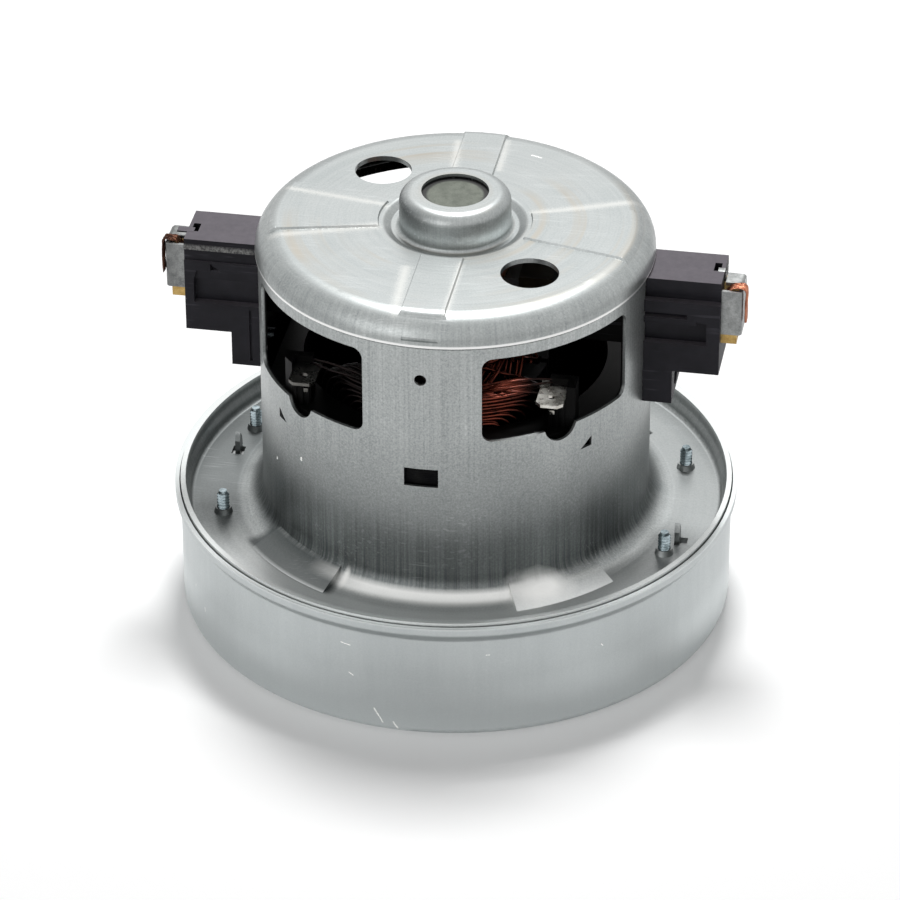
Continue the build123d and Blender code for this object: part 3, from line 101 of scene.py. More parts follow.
def combine(tree, x, y, z):
    made = tree.nodes.new("ShaderNodeCombineXYZ")
    for socket, value in zip(made.inputs, (x, y, z)):
        feed(tree, socket, value)
    return made.outputs[0]


def separate(tree, vector):
    made = tree.nodes.new("ShaderNodeSeparateXYZ")
    tree.links.new(vector, made.inputs[0])
    return made.outputs


def noise(tree, vector, scale, detail=3.0, roughness=0.55):
    made = tree.nodes.new("ShaderNodeTexNoise")
    tree.links.new(vector, made.inputs["Vector"])
    made.inputs["Scale"].default_value = scale
    made.inputs["Detail"].default_value = detail
    made.inputs["Roughness"].default_value = roughness
    return made.outputs["Fac"]


def spread(tree, value, low, high, toLow=0.0, toHigh=1.0):
    made = tree.nodes.new("ShaderNodeMapRange")
    made.clamp = True
    feed(tree, made.inputs["Value"], value)
    made.inputs["From Min"].default_value = low
    made.inputs["From Max"].default_value = high
    made.inputs["To Min"].default_value = toLow
    made.inputs["To Max"].default_value = toHigh
    return made.outputs["Result"]


def blendColours(tree, factor, first, second):
    made = tree.nodes.new("ShaderNodeMix")
    made.data_type = "RGBA"
    made.clamp_factor = True
    feed(tree, made.inputs["Factor"], factor)
    for socket, value in ((made.inputs[6], first), (made.inputs[7], second)):
        feed(tree, socket, value if isinstance(value, bpy.types.NodeSocket) else (*value, 1.0))
    return made.outputs[2]


def blendValues(tree, factor, first, second):
    made = tree.nodes.new("ShaderNodeMix")
    made.data_type = "FLOAT"
    made.clamp_factor = True
    feed(tree, made.inputs["Factor"], factor)
    feed(tree, made.inputs[2], first)
    feed(tree, made.inputs[3], second)
    return made.outputs[0]


def stretched(tree, vector, turn, scale):
    made = tree.nodes.new("ShaderNodeMapping")
    tree.links.new(vector, made.inputs["Vector"])
    made.inputs["Rotation"].default_value = [math.radians(a) for a in turn]
    made.inputs["Scale"].default_value = scale
    return made.outputs[0]


def bumped(tree, shader, layers):
    # Layers are (height socket, strength, depth in metres), the coarsest first
    normal = None
    for height, strength, depth in layers:
        made = tree.nodes.new("ShaderNodeBump")
        made.inputs["Strength"].default_value = strength
        made.inputs["Distance"].default_value = depth
        tree.links.new(height, made.inputs["Height"])
        if normal is not None:
            tree.links.new(normal, made.inputs["Normal"])
        normal = made.outputs[0]
    tree.links.new(normal, shader.inputs["Normal"])


def newMaterial(name, metallic=0.0, specular=0.5, coat=0.0, coatRoughness=0.2):
    material = bpy.data.materials.new(name)
    material.use_nodes = True
    tree = material.node_tree
    shader = tree.nodes["Principled BSDF"]
    shader.inputs["Metallic"].default_value = metallic
    shader.inputs["Specular IOR Level"].default_value = specular
    shader.inputs["Coat Weight"].default_value = coat
    shader.inputs["Coat Roughness"].default_value = coatRoughness
    coords = tree.nodes.new("ShaderNodeTexCoord")
    return material, tree, shader, coords.outputs["Object"], coords.outputs["Normal"]


def roundTheAxis(tree, coords):
    # Direction from the shaft's axis, distance from it and height, with no seam anywhere
    x, y, z = separate(tree, coords)
    flat = combine(tree, x, y, 0.0)
    direction = vectorNode(tree, "NORMALIZE", flat)
    distance = vectorNode(tree, "LENGTH", flat)
    return direction, distance, z


# Where the values of a cloud noise mostly lie
cloudBand = (0.3, 0.7)


def strongest(tree, total, mark):
    return mark if total is None else mathNode(tree, "MAXIMUM", total, mark)


scratchLines = {
    "tilts": (17, 31), "stretch": (60, 3800, 1500), "edge": 0.06,
    "patchScale": 70.0, "patchStep": 20, "patchEdge": (0.52, 0.66),
}


def scratches(tree, coords, angles, threshold):
    # Long thin lines in a few directions, in patches
    total = None
    for number, angle in enumerate(angles):
        turn = (scratchLines["tilts"][0] * number, scratchLines["tilts"][1] * number, angle)
        lines = noise(tree, stretched(tree, coords, turn, scratchLines["stretch"]), 1.0, 0.0)
        patchScale = scratchLines["patchScale"] + scratchLines["patchStep"] * number
        patches = spread(tree, noise(tree, coords, patchScale, 2.0), *scratchLines["patchEdge"])
        line = spread(tree, lines, threshold, threshold + scratchLines["edge"])
        total = strongest(tree, total, mathNode(tree, "MULTIPLY", line, patches))
    return total


spotEdge = {"raggedScale": 120.0, "raggedness": 0.9, "fade": (1.6, 0.7)}


def highlightSpot(tree, coords, place, halfSize, turn):
    # A soft egg-shaped patch with a ragged edge: place and half sizes in mm, turn about Z
    moved = vectorNode(tree, "SUBTRACT", coords, tuple(v * mm for v in place))
    turned = stretched(tree, moved, (0, 0, -turn), (1, 1, 1))
    shrunk = stretched(tree, turned, (0, 0, 0), tuple(1 / (h * mm) for h in halfSize))
    raggedNoise = noise(tree, coords, spotEdge["raggedScale"], 3.0)
    ragged = mathNode(tree, "MULTIPLY", raggedNoise, spotEdge["raggedness"])
    away = mathNode(tree, "ADD", vectorNode(tree, "LENGTH", shrunk), ragged)
    return spread(tree, away, *spotEdge["fade"])


scarLines = {"raggedScale": 2500.0, "raggedBand": (0.3, 0.7), "widthBand": (0.35, 1.3), "edge": (1.2, 0.8)}


def scars(tree, coords, marks, edge=scarLines["edge"]):
    # Bare lines at stated places, as (start in mm, end in mm, half width in mm)
    raggedNoise = noise(tree, coords, scarLines["raggedScale"], 2.0)
    ragged = spread(tree, raggedNoise, *scarLines["raggedBand"], *scarLines["widthBand"])
    total = None
    for start, end, half in marks:
        along = (Vector(end) - Vector(start)) * mm
        fromStart = vectorNode(tree, "SUBTRACT", coords, tuple(v * mm for v in start))
        share = vectorNode(tree, "DOT_PRODUCT", fromStart, tuple(along / along.length_squared))
        share = mathNode(tree, "MULTIPLY", share, 1.0, clamp=True)
        nearest = vectorNode(tree, "MULTIPLY", combine(tree, share, share, share), tuple(along))
        away = vectorNode(tree, "LENGTH", vectorNode(tree, "SUBTRACT", fromStart, nearest))
        away = mathNode(tree, "DIVIDE", away, mathNode(tree, "MULTIPLY", ragged, half * mm))
        total = strongest(tree, total, spread(tree, away, *edge))
    return total


def paintedZoneMask(tree, zone, distance, height, dx, dy):
    # Painted light or shade over part of a turned piece: each pair in mm fades in from its first value to its
    # second.
    # A side is (x, y, start, end): how far the place lies towards the direction x, y, from -1 to 1
    mask = zone["amount"]
    for value, pairs in ((distance, zone.get("distance", ())), (height, zone.get("height", ()))):
        for start, end in pairs:
            mask = mathNode(tree, "MULTIPLY", mask, spread(tree, value, start * mm, end * mm))
    if "side" in zone:
        x, y, start, end = zone["side"]
        towards = mathNode(tree, "ADD", mathNode(tree, "MULTIPLY", dx, x), mathNode(tree, "MULTIPLY", dy, y))
        mask = mathNode(tree, "MULTIPLY", mask, spread(tree, towards, start, end))
    return mask


# What all the pressed sheet pieces share: wear, painted shade at the foot and painted highlights
sheetWearAndPaintedLight = {
    "flatBand": (0.75, 0.95), "streakRoughness": 0.62, "ringRoughness": 0.6, "ringSway": 0.9,
    "stainScale": 0.45, "stainBand": (0.5, 0.68), "stainPatchScale": 26.0, "stainPatchBand": (0.42, 0.62),
    "footFade": 3, "footStreakBand": (0.3, 0.62), "footStreakShare": (0.55, 1.0),
    "paintedHighlightEdge": (1.7, 0.2), "paintedHighlightShare": 0.35, "bareColour": (0.97, 0.97, 0.95), "bareRoughness": 0.75,
    "cloudBump": 0.3, "patternBump": 0.5, "grainBump": 0.4,
}


def zincSteel(name, look):
    material, tree, shader, coords, normals = newMaterial(name, metallic=look["metallic"])
    direction, distance, height = roundTheAxis(tree, coords)
    dx, dy, _ = separate(tree, direction)
    # Drawing streaks run down the walls, and turned rings lie on the flats
    streakVector = combine(
        tree,
        mathNode(tree, "MULTIPLY", dx, look["streaksRound"]),
        mathNode(tree, "MULTIPLY", dy, look["streaksRound"]),
        mathNode(tree, "MULTIPLY", height, look["streaksAlong"]),
    )
    streaks = noise(tree, streakVector, 1.0, 5.0, sheetWearAndPaintedLight["streakRoughness"])
    ringVector = combine(
        tree,
        mathNode(tree, "MULTIPLY", distance, look["ringsAcross"]),
        mathNode(tree, "MULTIPLY", dx, sheetWearAndPaintedLight["ringSway"]),
        mathNode(tree, "MULTIPLY", dy, sheetWearAndPaintedLight["ringSway"]),
    )
    rings = noise(tree, ringVector, 1.0, 4.0, sheetWearAndPaintedLight["ringRoughness"])
    up = mathNode(tree, "ABSOLUTE", separate(tree, normals)[2])
    flatness = spread(tree, up, *sheetWearAndPaintedLight["flatBand"])
    pattern = blendValues(tree, flatness, streaks, rings)
    cloud = noise(tree, coords, look["cloudScale"], 3.0, 0.55)
    grain = noise(tree, coords, look["grainScale"], 2.0, 0.7)
    tone = mathNode(tree, "ADD", mathNode(tree, "MULTIPLY", pattern, look["patternShare"]),
                    mathNode(tree, "MULTIPLY", cloud, look["cloudShare"]))
    tone = mathNode(tree, "ADD", tone, mathNode(tree, "MULTIPLY", grain, look["grainShare"]))
    middle = 0.5 * (look["patternShare"] + look["cloudShare"] + look["grainShare"])
    tone = spread(tree, tone, middle - look["contrast"], middle + look["contrast"])
    colour = blendColours(tree, tone, look["dark"], look["light"])
    # Brownish passivation left in soft rings
    stainNoise = noise(tree, ringVector, sheetWearAndPaintedLight["stainScale"], 2.0, 0.5)
    stainRings = spread(tree, stainNoise, *sheetWearAndPaintedLight["stainBand"])
    patchNoise = noise(tree, coords, sheetWearAndPaintedLight["stainPatchScale"], 2.0)
    stain = mathNode(tree, "MULTIPLY", stainRings, spread(tree, patchNoise, *sheetWearAndPaintedLight["stainPatchBand"]))
    stain = mathNode(tree, "MULTIPLY", stain, mathNode(tree, "MULTIPLY", flatness, look["stain"]))
    colour = blendColours(tree, stain, colour, look["stainColour"])
    # Painted shade: darker towards the foot of the wall, broken by the drawing streaks
    if "footShade" in look:
        shade = look["footShade"]
        lowness = spread(tree, height, shade["high"] * mm, shade["low"] * mm)
        foot = mathNode(tree, "MULTIPLY", lowness, shade["amount"])
        fadeEnd = shade["reach"] + sheetWearAndPaintedLight["footFade"]
        foot = mathNode(tree, "MULTIPLY", foot, spread(tree, distance, fadeEnd * mm, shade["reach"] * mm))
        broken = spread(tree, streaks, *sheetWearAndPaintedLight["footStreakBand"], *sheetWearAndPaintedLight["footStreakShare"])
        colour = blendColours(tree, mathNode(tree, "MULTIPLY", foot, broken), colour, shade["colour"])
    # Zones of painted light and shade, and spots of painted highlight
    for zone in look.get("paintedLightZones", ()):
        colour = blendColours(tree, paintedZoneMask(tree, zone, distance, height, dx, dy), colour, zone["colour"])
    for spot in look.get("paintedHighlightSpots", ()):
        there = highlightSpot(tree, coords, spot["place"], spot["halfSize"], spot["turn"])
        colour = blendColours(tree, mathNode(tree, "MULTIPLY", there, spot["amount"]), colour, spot["colour"])
    # Painted highlights along bent edges
    if "paintedHighlightBands" in look:
        paintedHighlight = scars(tree, coords, look["paintedHighlightBands"], sheetWearAndPaintedLight["paintedHighlightEdge"])
        paintedHighlight = mathNode(tree, "MULTIPLY", paintedHighlight, sheetWearAndPaintedLight["paintedHighlightShare"])
        colour = blendColours(tree, paintedHighlight, colour, look["paintedHighlightColour"])
    # Fine scratches and bare nicks
    lines = scratches(tree, coords, look["scratchTurns"], look["scratchLevel"])
    lines = mathNode(tree, "MULTIPLY", lines, look["scratchShare"])
    colour = blendColours(tree, lines, colour, look["bright"])
    marks = scars(tree, coords, look["scars"])
    colour = blendColours(tree, marks, colour, sheetWearAndPaintedLight["bareColour"])
    tree.links.new(colour, shader.inputs["Base Color"])
    smooth, coarse = look["rough"]
    rough = spread(tree, tone, 0.0, 1.0, coarse, smooth)
    tree.links.new(blendValues(tree, marks, rough, sheetWearAndPaintedLight["bareRoughness"]), shader.inputs["Roughness"])
    bumped(tree, shader, [
        (cloud, sheetWearAndPaintedLight["cloudBump"], look["waviness"]),
        (pattern, sheetWearAndPaintedLight["patternBump"], look["patternDepth"]),
        (grain, sheetWearAndPaintedLight["grainBump"], look["grainDepth"]),
    ])
    return material


capZinc = zincSteel("capZinc", {
    "metallic": 0.9, "dark": (0.27, 0.29, 0.29), "light": (0.45, 0.47, 0.465), "bright": (0.66, 0.68, 0.68),
    "streaksRound": 60, "streaksAlong": 25, "ringsAcross": 900, "cloudScale": 45, "grainScale": 2300,
    "patternShare": 0.5, "cloudShare": 0.45, "grainShare": 0.55, "contrast": 0.2,
    "stain": 0.9, "stainColour": (0.36, 0.335, 0.29), "rough": (0.32, 0.44),
    "scratchTurns": (12, 75, 130), "scratchLevel": 0.66, "scratchShare": 0.25,
    "waviness": 0.0004, "patternDepth": 0.00003, "grainDepth": 0.00001,
    "paintedLightZones": [
        # Painted highlight on the bent edge of the skirt's foot
        {"distance": [(46.5, 46.7)], "height": [(94.0, 93.7)], "amount": 0.9, "colour": (0.97, 0.97, 0.96)},
        # Painted shade in the boss's bore, dark round the cover disc
        {"distance": [(8.4, 8.1)], "height": [(107.6, 107.2)], "amount": 1.0,
         "colour": (0.012, 0.012, 0.012)},
        # Painted shade on the boss's left wall
        {"distance": [(15.5, 14.0)], "height": [(108.0, 106.8), (99.0, 100.6)], "side": (-1, -0.15, 0.2, 0.9),
         "amount": 0.88, "colour": (0.07, 0.08, 0.08)},
    ],
    # Painted highlights along the edges of the ribs
    "paintedHighlightColour": (0.78, 0.765, 0.725), "paintedHighlightBands": [
        ((17.8, 6.6, 100.3), (41.2, 16.4, 100.3), 1.3),
        ((-41.9, -14.1, 100.3), (-17.5, -5.9, 100.3), 1.2),
        ((-41.4, 7.9, 100.3), (-17.2, 3.9, 100.3), 1.0),
        ((-7.4, -23.4, 100.3), (-6.4, -44.4, 100.3), 1.3),
        ((-5.9, 37.5, 100.3), (-4.6, 23.8, 100.3), 1.1),
        ((5.7, 39.5, 100.3), (6.0, 25.6, 100.3), 0.9),
        ((4.8, -20.2, 100.3), (5.2, -43.5, 100.3), 0.9),
    ],
    "scars": [((-26.8, 3.6, 100), (-25.6, 4.9, 100), 0.18), ((12.5, 34.0, 100), (15.0, 33.0, 100), 0.12)],
})
canZinc = zincSteel("canZinc", {
    "metallic": 0.9, "dark": (0.26, 0.28, 0.28), "light": (0.54, 0.56, 0.555), "bright": (0.66, 0.68, 0.68),
    "streaksRound": 75, "streaksAlong": 12, "ringsAcross": 500, "cloudScale": 35, "grainScale": 2100,
    "patternShare": 0.6, "cloudShare": 0.35, "grainShare": 0.8, "contrast": 0.28,
    "stain": 0.3, "stainColour": (0.30, 0.29, 0.26), "rough": (0.32, 0.46),
    # Painted shade towards the foot of the wall
    "footShade": {"low": 31, "high": 72, "reach": 47, "amount": 0.92, "colour": (0.05, 0.058, 0.058)},
    "scratchTurns": (8, 95), "scratchLevel": 0.67, "scratchShare": 0.15,
    "waviness": 0.0003, "patternDepth": 0.00004, "grainDepth": 0.000012,
    "paintedLightZones": [
        # Painted highlight on the edge of the dish's rim
        {"distance": [(64.4, 65.2)], "height": [(30.3, 30.9)], "amount": 0.5, "colour": (0.8, 0.82, 0.81)},
        # Painted light and shade on the dish's floor: dark on the left, bright in front, a little darker on
        # the right
        {"distance": [(50, 53)], "height": [(31, 30)], "side": (-1, 0.1, 0.68, 0.98),
         "amount": 0.85, "colour": (0.12, 0.13, 0.13)},
        {"distance": [(49, 54)], "height": [(33, 30)], "side": (0.1, -1, 0.3, 0.75),
         "amount": 0.7, "colour": (0.94, 0.96, 0.95)},
        {"distance": [(50, 53)], "height": [(31, 30)], "side": (1, 0.15, 0.6, 0.95),
         "amount": 0.55, "colour": (0.2, 0.21, 0.21)},
        # Painted shade on the pad in the left front, and a painted highlight on the bend between the pads
        {"distance": [(46.8, 48.0), (55.0, 53.5)], "height": [(31, 30)],
         "side": (-0.643, -0.766, 0.953, 0.966), "amount": 0.85, "colour": (0.07, 0.08, 0.08)},
        {"distance": [(47.2, 48.2), (51.5, 49.5)], "height": [(31, 29.5)], "side": (0.05, -1, 0.8, 0.95),
         "amount": 0.7, "colour": (0.97, 0.97, 0.95)},
        # The can's inner wall, painted black as shade
        {"distance": [(45.8, 45.4)], "height": [(33, 35)], "amount": 1.0, "colour": (0.002, 0.002, 0.002)},
    ],
    # Painted highlights on the pad in the right front, and a small one by the left pad
    "paintedHighlightSpots": [
        {"place": (27.0, -42.2, 27.6), "halfSize": (9.0, 5.2, 5.0), "turn": 32,
         "amount": 1.0, "colour": (1.0, 1.0, 0.98)},
        {"place": (-18.9, -45.6, 27.6), "halfSize": (1.0, 3.2, 3.0), "turn": -22,
         "amount": 0.9, "colour": (0.8, 0.8, 0.78)},
    ],
    "scars": [
        ((-38.1, -26.3, 47.1), (-38.1, -26.3, 46.7), 0.28),
        ((-30.5, -34.9, 53.0), (-30.5, -34.9, 52.5), 0.35),
    ],
})
panZinc = zincSteel("panZinc", {
    "metallic": 0.9, "dark": (0.43, 0.46, 0.465), "light": (0.53, 0.56, 0.56), "bright": (0.66, 0.68, 0.68),
    "streaksRound": 30, "streaksAlong": 40, "ringsAcross": 450, "cloudScale": 40, "grainScale": 2400,
    "patternShare": 0.3, "cloudShare": 0.45, "grainShare": 0.5, "contrast": 0.25,
    "stain": 0.25, "stainColour": (0.34, 0.33, 0.30), "rough": (0.34, 0.42),
    "scratchTurns": (4, 88), "scratchLevel": 0.67, "scratchShare": 0.12,
    "waviness": 0.0003, "patternDepth": 0.00001, "grainDepth": 0.00001,
    "paintedLightZones": [
        # Painted highlight on the edge of the rim, and a paler foot painted as light
        {"distance": [(64.4, 65.2)], "height": [(30.0, 30.8)], "amount": 0.5, "colour": (0.8, 0.82, 0.81)},
        {"height": [(16, 0)], "amount": 0.6, "colour": (0.8, 0.84, 0.84)},
    ],
    "scars": [
        ((-7.9, -65.8, 5.9), (-5.8, -66.0, 2.4), 0.2), ((-3.3, -66.1, 2.8), (-1.7, -66.2, 0.4), 0.2),
        ((-15.7, -64.3, 22.7), (-13.5, -64.8, 22.4), 0.16),
        ((-13.9, -64.7, 14.7), (-12.9, -64.9, 14.1), 0.15),
        ((-54.0, -38.3, 10.5), (-53.9, -38.4, 9.3), 0.15), ((-57.2, -33.4, 13.7), (-57.2, -33.4, 13.0), 0.12),
        ((18.2, -63.6, 22.5), (18.9, -63.4, 22.5), 0.14), ((43.0, -50.3, 19.5), (43.4, -50.0, 18.9), 0.12),
    ],
})
bracketZinc = zincSteel("bracketZinc", {
    "metallic": 0.9, "dark": (0.30, 0.31, 0.31), "light": (0.44, 0.45, 0.45), "bright": (0.6, 0.6, 0.6),
    "streaksRound": 20, "streaksAlong": 30, "ringsAcross": 400, "cloudScale": 50, "grainScale": 1800,
    "patternShare": 0.4, "cloudShare": 0.6, "grainShare": 0.4, "contrast": 0.3,
    "stain": 0.2, "stainColour": (0.3, 0.28, 0.24), "rough": (0.38, 0.5),
    "scratchTurns": (20, 110), "scratchLevel": 0.66, "scratchShare": 0.2,
    "waviness": 0.0002, "patternDepth": 0.00002, "grainDepth": 0.00001,
    "scars": [((10, 0, 25), (12, 1, 25), 0.15)],
})
print("sheet metal materials ready")


# What all the small metal pieces share
metalLooks = {
    "cloudScale": 480.0, "cloudBump": 0.3, "cloudDepth": 0.00005,
    "grainScale": 3500.0, "grainInTone": 0.5, "grainBump": 0.5, "toneBand": (0.5, 1.0),
    "seamFrom": 0.75, "seamShade": 0.35, "seamRelief": 4.0, "paintedShadeColour": (0.004, 0.004, 0.004),
}


def plainMetal(name, dark, light, rough, metallic=1.0, coat=0.0, grainDepth=0.00001, layers=0.0, paintedShade=()):
    # Small metal pieces: mottled tone, fine grain, and a dark line at every layer's height in mm: dark joints
    # for a stack of sheets, painted shade in the grooves for a thread. Painted shade is given as (axis, start
    # in mm, end in mm, amount), thickening from start to end. Its axis is X, or R for the distance from the
    # shaft
    material, tree, shader, coords, _ = newMaterial(name, metallic=metallic, coat=coat)
    cloud = noise(tree, coords, metalLooks["cloudScale"], 4.0, 0.6)
    grain = noise(tree, coords, metalLooks["grainScale"], 2.0, 0.6)
    mottle = mathNode(tree, "ADD", cloud, mathNode(tree, "MULTIPLY", grain, metalLooks["grainInTone"]))
    colour = blendColours(tree, spread(tree, mottle, *metalLooks["toneBand"]), dark, light)
    height = grain
    if layers:
        across = mathNode(tree, "MULTIPLY", separate(tree, coords)[2], 2 * math.pi / (layers * mm))
        seam = spread(tree, mathNode(tree, "SINE", across), metalLooks["seamFrom"], 1.0)
        colour = blendColours(tree, seam, colour, tuple(v * metalLooks["seamShade"] for v in dark))
        height = mathNode(tree, "SUBTRACT", grain, mathNode(tree, "MULTIPLY", seam, metalLooks["seamRelief"]))
    for axis, start, end, amount in paintedShade:
        along = separate(tree, coords)[0] if axis == "X" else roundTheAxis(tree, coords)[1]
        shadedShare = mathNode(tree, "MULTIPLY", spread(tree, along, start * mm, end * mm), amount)
        colour = blendColours(tree, shadedShare, colour, metalLooks["paintedShadeColour"])
    tree.links.new(colour, shader.inputs["Base Color"])
    tree.links.new(spread(tree, cloud, *cloudBand, *rough), shader.inputs["Roughness"])
    bumped(tree, shader, [
        (cloud, metalLooks["cloudBump"], metalLooks["cloudDepth"]),
        (height, metalLooks["grainBump"], grainDepth),
    ])
    return material


turnedLooks = {"cloudScale": 300.0, "toneBand": (0.75, 1.25), "lineBump": 0.4, "lineDepth": 0.00002}


def turnedMetal(name, dark, light, rough, pitch):
    # Turned pieces: fine rings round the shaft's axis, their pitch in mm
    material, tree, shader, coords, _ = newMaterial(name, metallic=1.0)
    _, distance, height = roundTheAxis(tree, coords)
    across = mathNode(tree, "MULTIPLY", mathNode(tree, "ADD", distance, height), 1 / (pitch * mm))
    lines = noise(tree, combine(tree, across, 0.0, 0.0), 1.0, 3.0)
    cloud = noise(tree, coords, turnedLooks["cloudScale"], 3.0)
    tone = spread(tree, mathNode(tree, "ADD", lines, cloud), *turnedLooks["toneBand"])
    tree.links.new(blendColours(tree, tone, dark, light), shader.inputs["Base Color"])
    tree.links.new(spread(tree, cloud, *cloudBand, *rough), shader.inputs["Roughness"])
    bumped(tree, shader, [(lines, turnedLooks["lineBump"], turnedLooks["lineDepth"])])
    return material


mouldedLooks = {
    "cloudScale": 90.0, "textureScale": 2600.0, "flowTurn": 25, "flowStretch": (60, 500, 60),
    "toneBand": (0.8, 1.25),
    "faceUp": (0.55, 0.92), "powderScale": 500.0, "powderBand": (0.25, 0.7), "powderShare": (0.75, 1.0),
    "insideFade": (46.2, 45.4), "insideShadeColour": (0.003, 0.003, 0.003),
    "sparkleScale": 1800.0, "sparkleBand": (0.35, 0.65), "sparkleShare": (0.25, 1.0),
    "stripEdge": 0.15, "stripX": (-46, -48), "stripY": (-7.2, -7.35),
    "scratchTurns": (30, 100), "scratchLevel": 0.66, "scratchShare": 0.2, "scratchGain": 4,
    "scratchLift": 0.02,
    "cloudBump": 0.2, "cloudDepth": 0.0001, "textureBump": 0.45, "textureDepth": 0.00003,
}


def mouldedPlastic(name, dark, light, rough, specular, dustAndSheen, dustAndSheenColour, strips=()):
    # Moulded parts: fine spark texture, faint flow clouds, dust with a painted sheen and scuffs on faces that
    # look up
    looks = mouldedLooks
    material, tree, shader, coords, normals = newMaterial(name, specular=specular)
    cloud = noise(tree, coords, looks["cloudScale"], 4.0, 0.6)
    texture = noise(tree, coords, looks["textureScale"], 3.0, 0.7)
    flow = noise(tree, stretched(tree, coords, (0, 0, looks["flowTurn"]), looks["flowStretch"]), 1.0, 3.0)
    tone = spread(tree, mathNode(tree, "ADD", cloud, flow), *looks["toneBand"])
    colour = blendColours(tree, tone, dark, light)
    # Dust with a painted sheen on faces that look up
    top = spread(tree, separate(tree, normals)[2], *looks["faceUp"])
    powderNoise = noise(tree, coords, looks["powderScale"], 4.0, 0.7)
    powder = spread(tree, powderNoise, *looks["powderBand"], *looks["powderShare"])
    top = mathNode(tree, "MULTIPLY", mathNode(tree, "MULTIPLY", top, powder), dustAndSheen)
    colour = blendColours(tree, top, colour, dustAndSheenColour)
    # Painted shade: darker inside the can
    fadeStart, fadeEnd = looks["insideFade"]
    inside = spread(tree, roundTheAxis(tree, coords)[1], fadeStart * mm, fadeEnd * mm)
    colour = blendColours(tree, inside, colour, looks["insideShadeColour"])
    # Painted light on strips of the left holder's front, as (low in mm, high in mm, colour)
    x, y, z = separate(tree, coords)
    sparkleNoise = noise(tree, coords, looks["sparkleScale"], 2.0, 0.7)
    sparkle = spread(tree, sparkleNoise, *looks["sparkleBand"], *looks["sparkleShare"])
    for low, high, toneThere in strips:
        there = mathNode(
            tree, "MULTIPLY",
            spread(tree, z, (low - looks["stripEdge"]) * mm, low * mm),
            spread(tree, z, (high + looks["stripEdge"]) * mm, high * mm),
        )
        for value, band in ((x, looks["stripX"]), (y, looks["stripY"])):
            there = mathNode(tree, "MULTIPLY", there, spread(tree, value, band[0] * mm, band[1] * mm))
        colour = blendColours(tree, mathNode(tree, "MULTIPLY", there, sparkle), colour, toneThere)
    lines = scratches(tree, coords, looks["scratchTurns"], looks["scratchLevel"])
    lines = mathNode(tree, "MULTIPLY", lines, looks["scratchShare"])
    scratched = tuple(min(1, v * looks["scratchGain"] + looks["scratchLift"]) for v in light)
    colour = blendColours(tree, lines, colour, scratched)
    tree.links.new(colour, shader.inputs["Base Color"])
    tree.links.new(spread(tree, cloud, *cloudBand, *rough), shader.inputs["Roughness"])
    bumped(tree, shader, [
        (cloud, looks["cloudBump"], looks["cloudDepth"]),
        (texture, looks["textureBump"], looks["textureDepth"]),
    ])
    return material


# Bright and dark steel
# Screws: their layers draw painted shade in the thread's grooves
screwZinc = plainMetal("screwZinc", dark=(0.09, 0.13, 0.14), light=(0.55, 0.64, 0.68), rough=(0.16, 0.28),
                       layers=0.75)
# Clips: the left one darkened as painted shade
clipSteel = plainMetal("clipSteel", dark=(0.15, 0.155, 0.155), light=(0.36, 0.37, 0.365), rough=(0.36, 0.52),
                       grainDepth=0.00002, paintedShade=[("X", -63, -68, 0.4)])
# The cover disc: its rim painted black as shade in the bore
discPaint = plainMetal("discPaint", dark=(0.06, 0.07, 0.052), light=(0.16, 0.175, 0.145), rough=(0.5, 0.65),
                       metallic=0.2, paintedShade=[("R", 6.3, 6.9, 0.97)])
# Cores: dark laminations, made nearly black as painted shade inside the can
coreSteel = plainMetal("coreSteel", dark=(0.004, 0.004, 0.005), light=(0.015, 0.015, 0.015),
                       rough=(0.45, 0.65), layers=0.5, grainDepth=0.00003)
springSteel = plainMetal("springSteel", dark=(0.25, 0.25, 0.25), light=(0.42, 0.42, 0.41), rough=(0.25, 0.4))
bearingSteel = turnedMetal("bearingSteel", dark=(0.5, 0.5, 0.5), light=(0.66, 0.66, 0.65), rough=(0.12, 0.22),
                           pitch=0.12)
shaftSteel = turnedMetal("shaftSteel", dark=(0.45, 0.45, 0.45), light=(0.6, 0.6, 0.59), rough=(0.18, 0.32),
                         pitch=0.15)

# Brass, tin, aluminium, copper and carbon
# Brush tubes: painted shade on their inner ends, inside the can
tubeBrass = plainMetal("tubeBrass", dark=(0.26, 0.16, 0.05), light=(0.6, 0.42, 0.16), rough=(0.3, 0.5),
                       paintedShade=[("R", 61, 57, 0.97)])
# Terminal tabs: the left one darkened as painted shade
tinPlate = plainMetal("tinPlate", dark=(0.36, 0.34, 0.30), light=(0.72, 0.71, 0.67), rough=(0.22, 0.36),
                      paintedShade=[("X", 5, -5, 0.8)])
fanAluminium = turnedMetal("fanAluminium", dark=(0.6, 0.6, 0.61), light=(0.76, 0.76, 0.77),
                           rough=(0.28, 0.42), pitch=0.3)
barCopper = turnedMetal("barCopper", dark=(0.40, 0.17, 0.09), light=(0.72, 0.38, 0.24), rough=(0.25, 0.45),
                        pitch=0.2)
# Coil wires: painted shade on the left of x 10 mm and the right of x 17 mm
wireCopper = plainMetal("wireCopper", dark=(0.03, 0.007, 0.005), light=(0.26, 0.055, 0.03), rough=(0.25, 0.4),
                        coat=0.2, paintedShade=[("X", 10, -2, 0.97), ("X", 17, 23, 0.93)])
# Brush leads: the left one darkened as painted shade
bareCopper = plainMetal("bareCopper", dark=(0.14, 0.035, 0.025), light=(0.75, 0.33, 0.2), rough=(0.25, 0.42),
                        paintedShade=[("X", -60, -64, 0.85)])
carbonBlack = plainMetal("carbonBlack", dark=(0.02, 0.02, 0.021), light=(0.06, 0.06, 0.06), rough=(0.4, 0.6),
                         metallic=0.2)

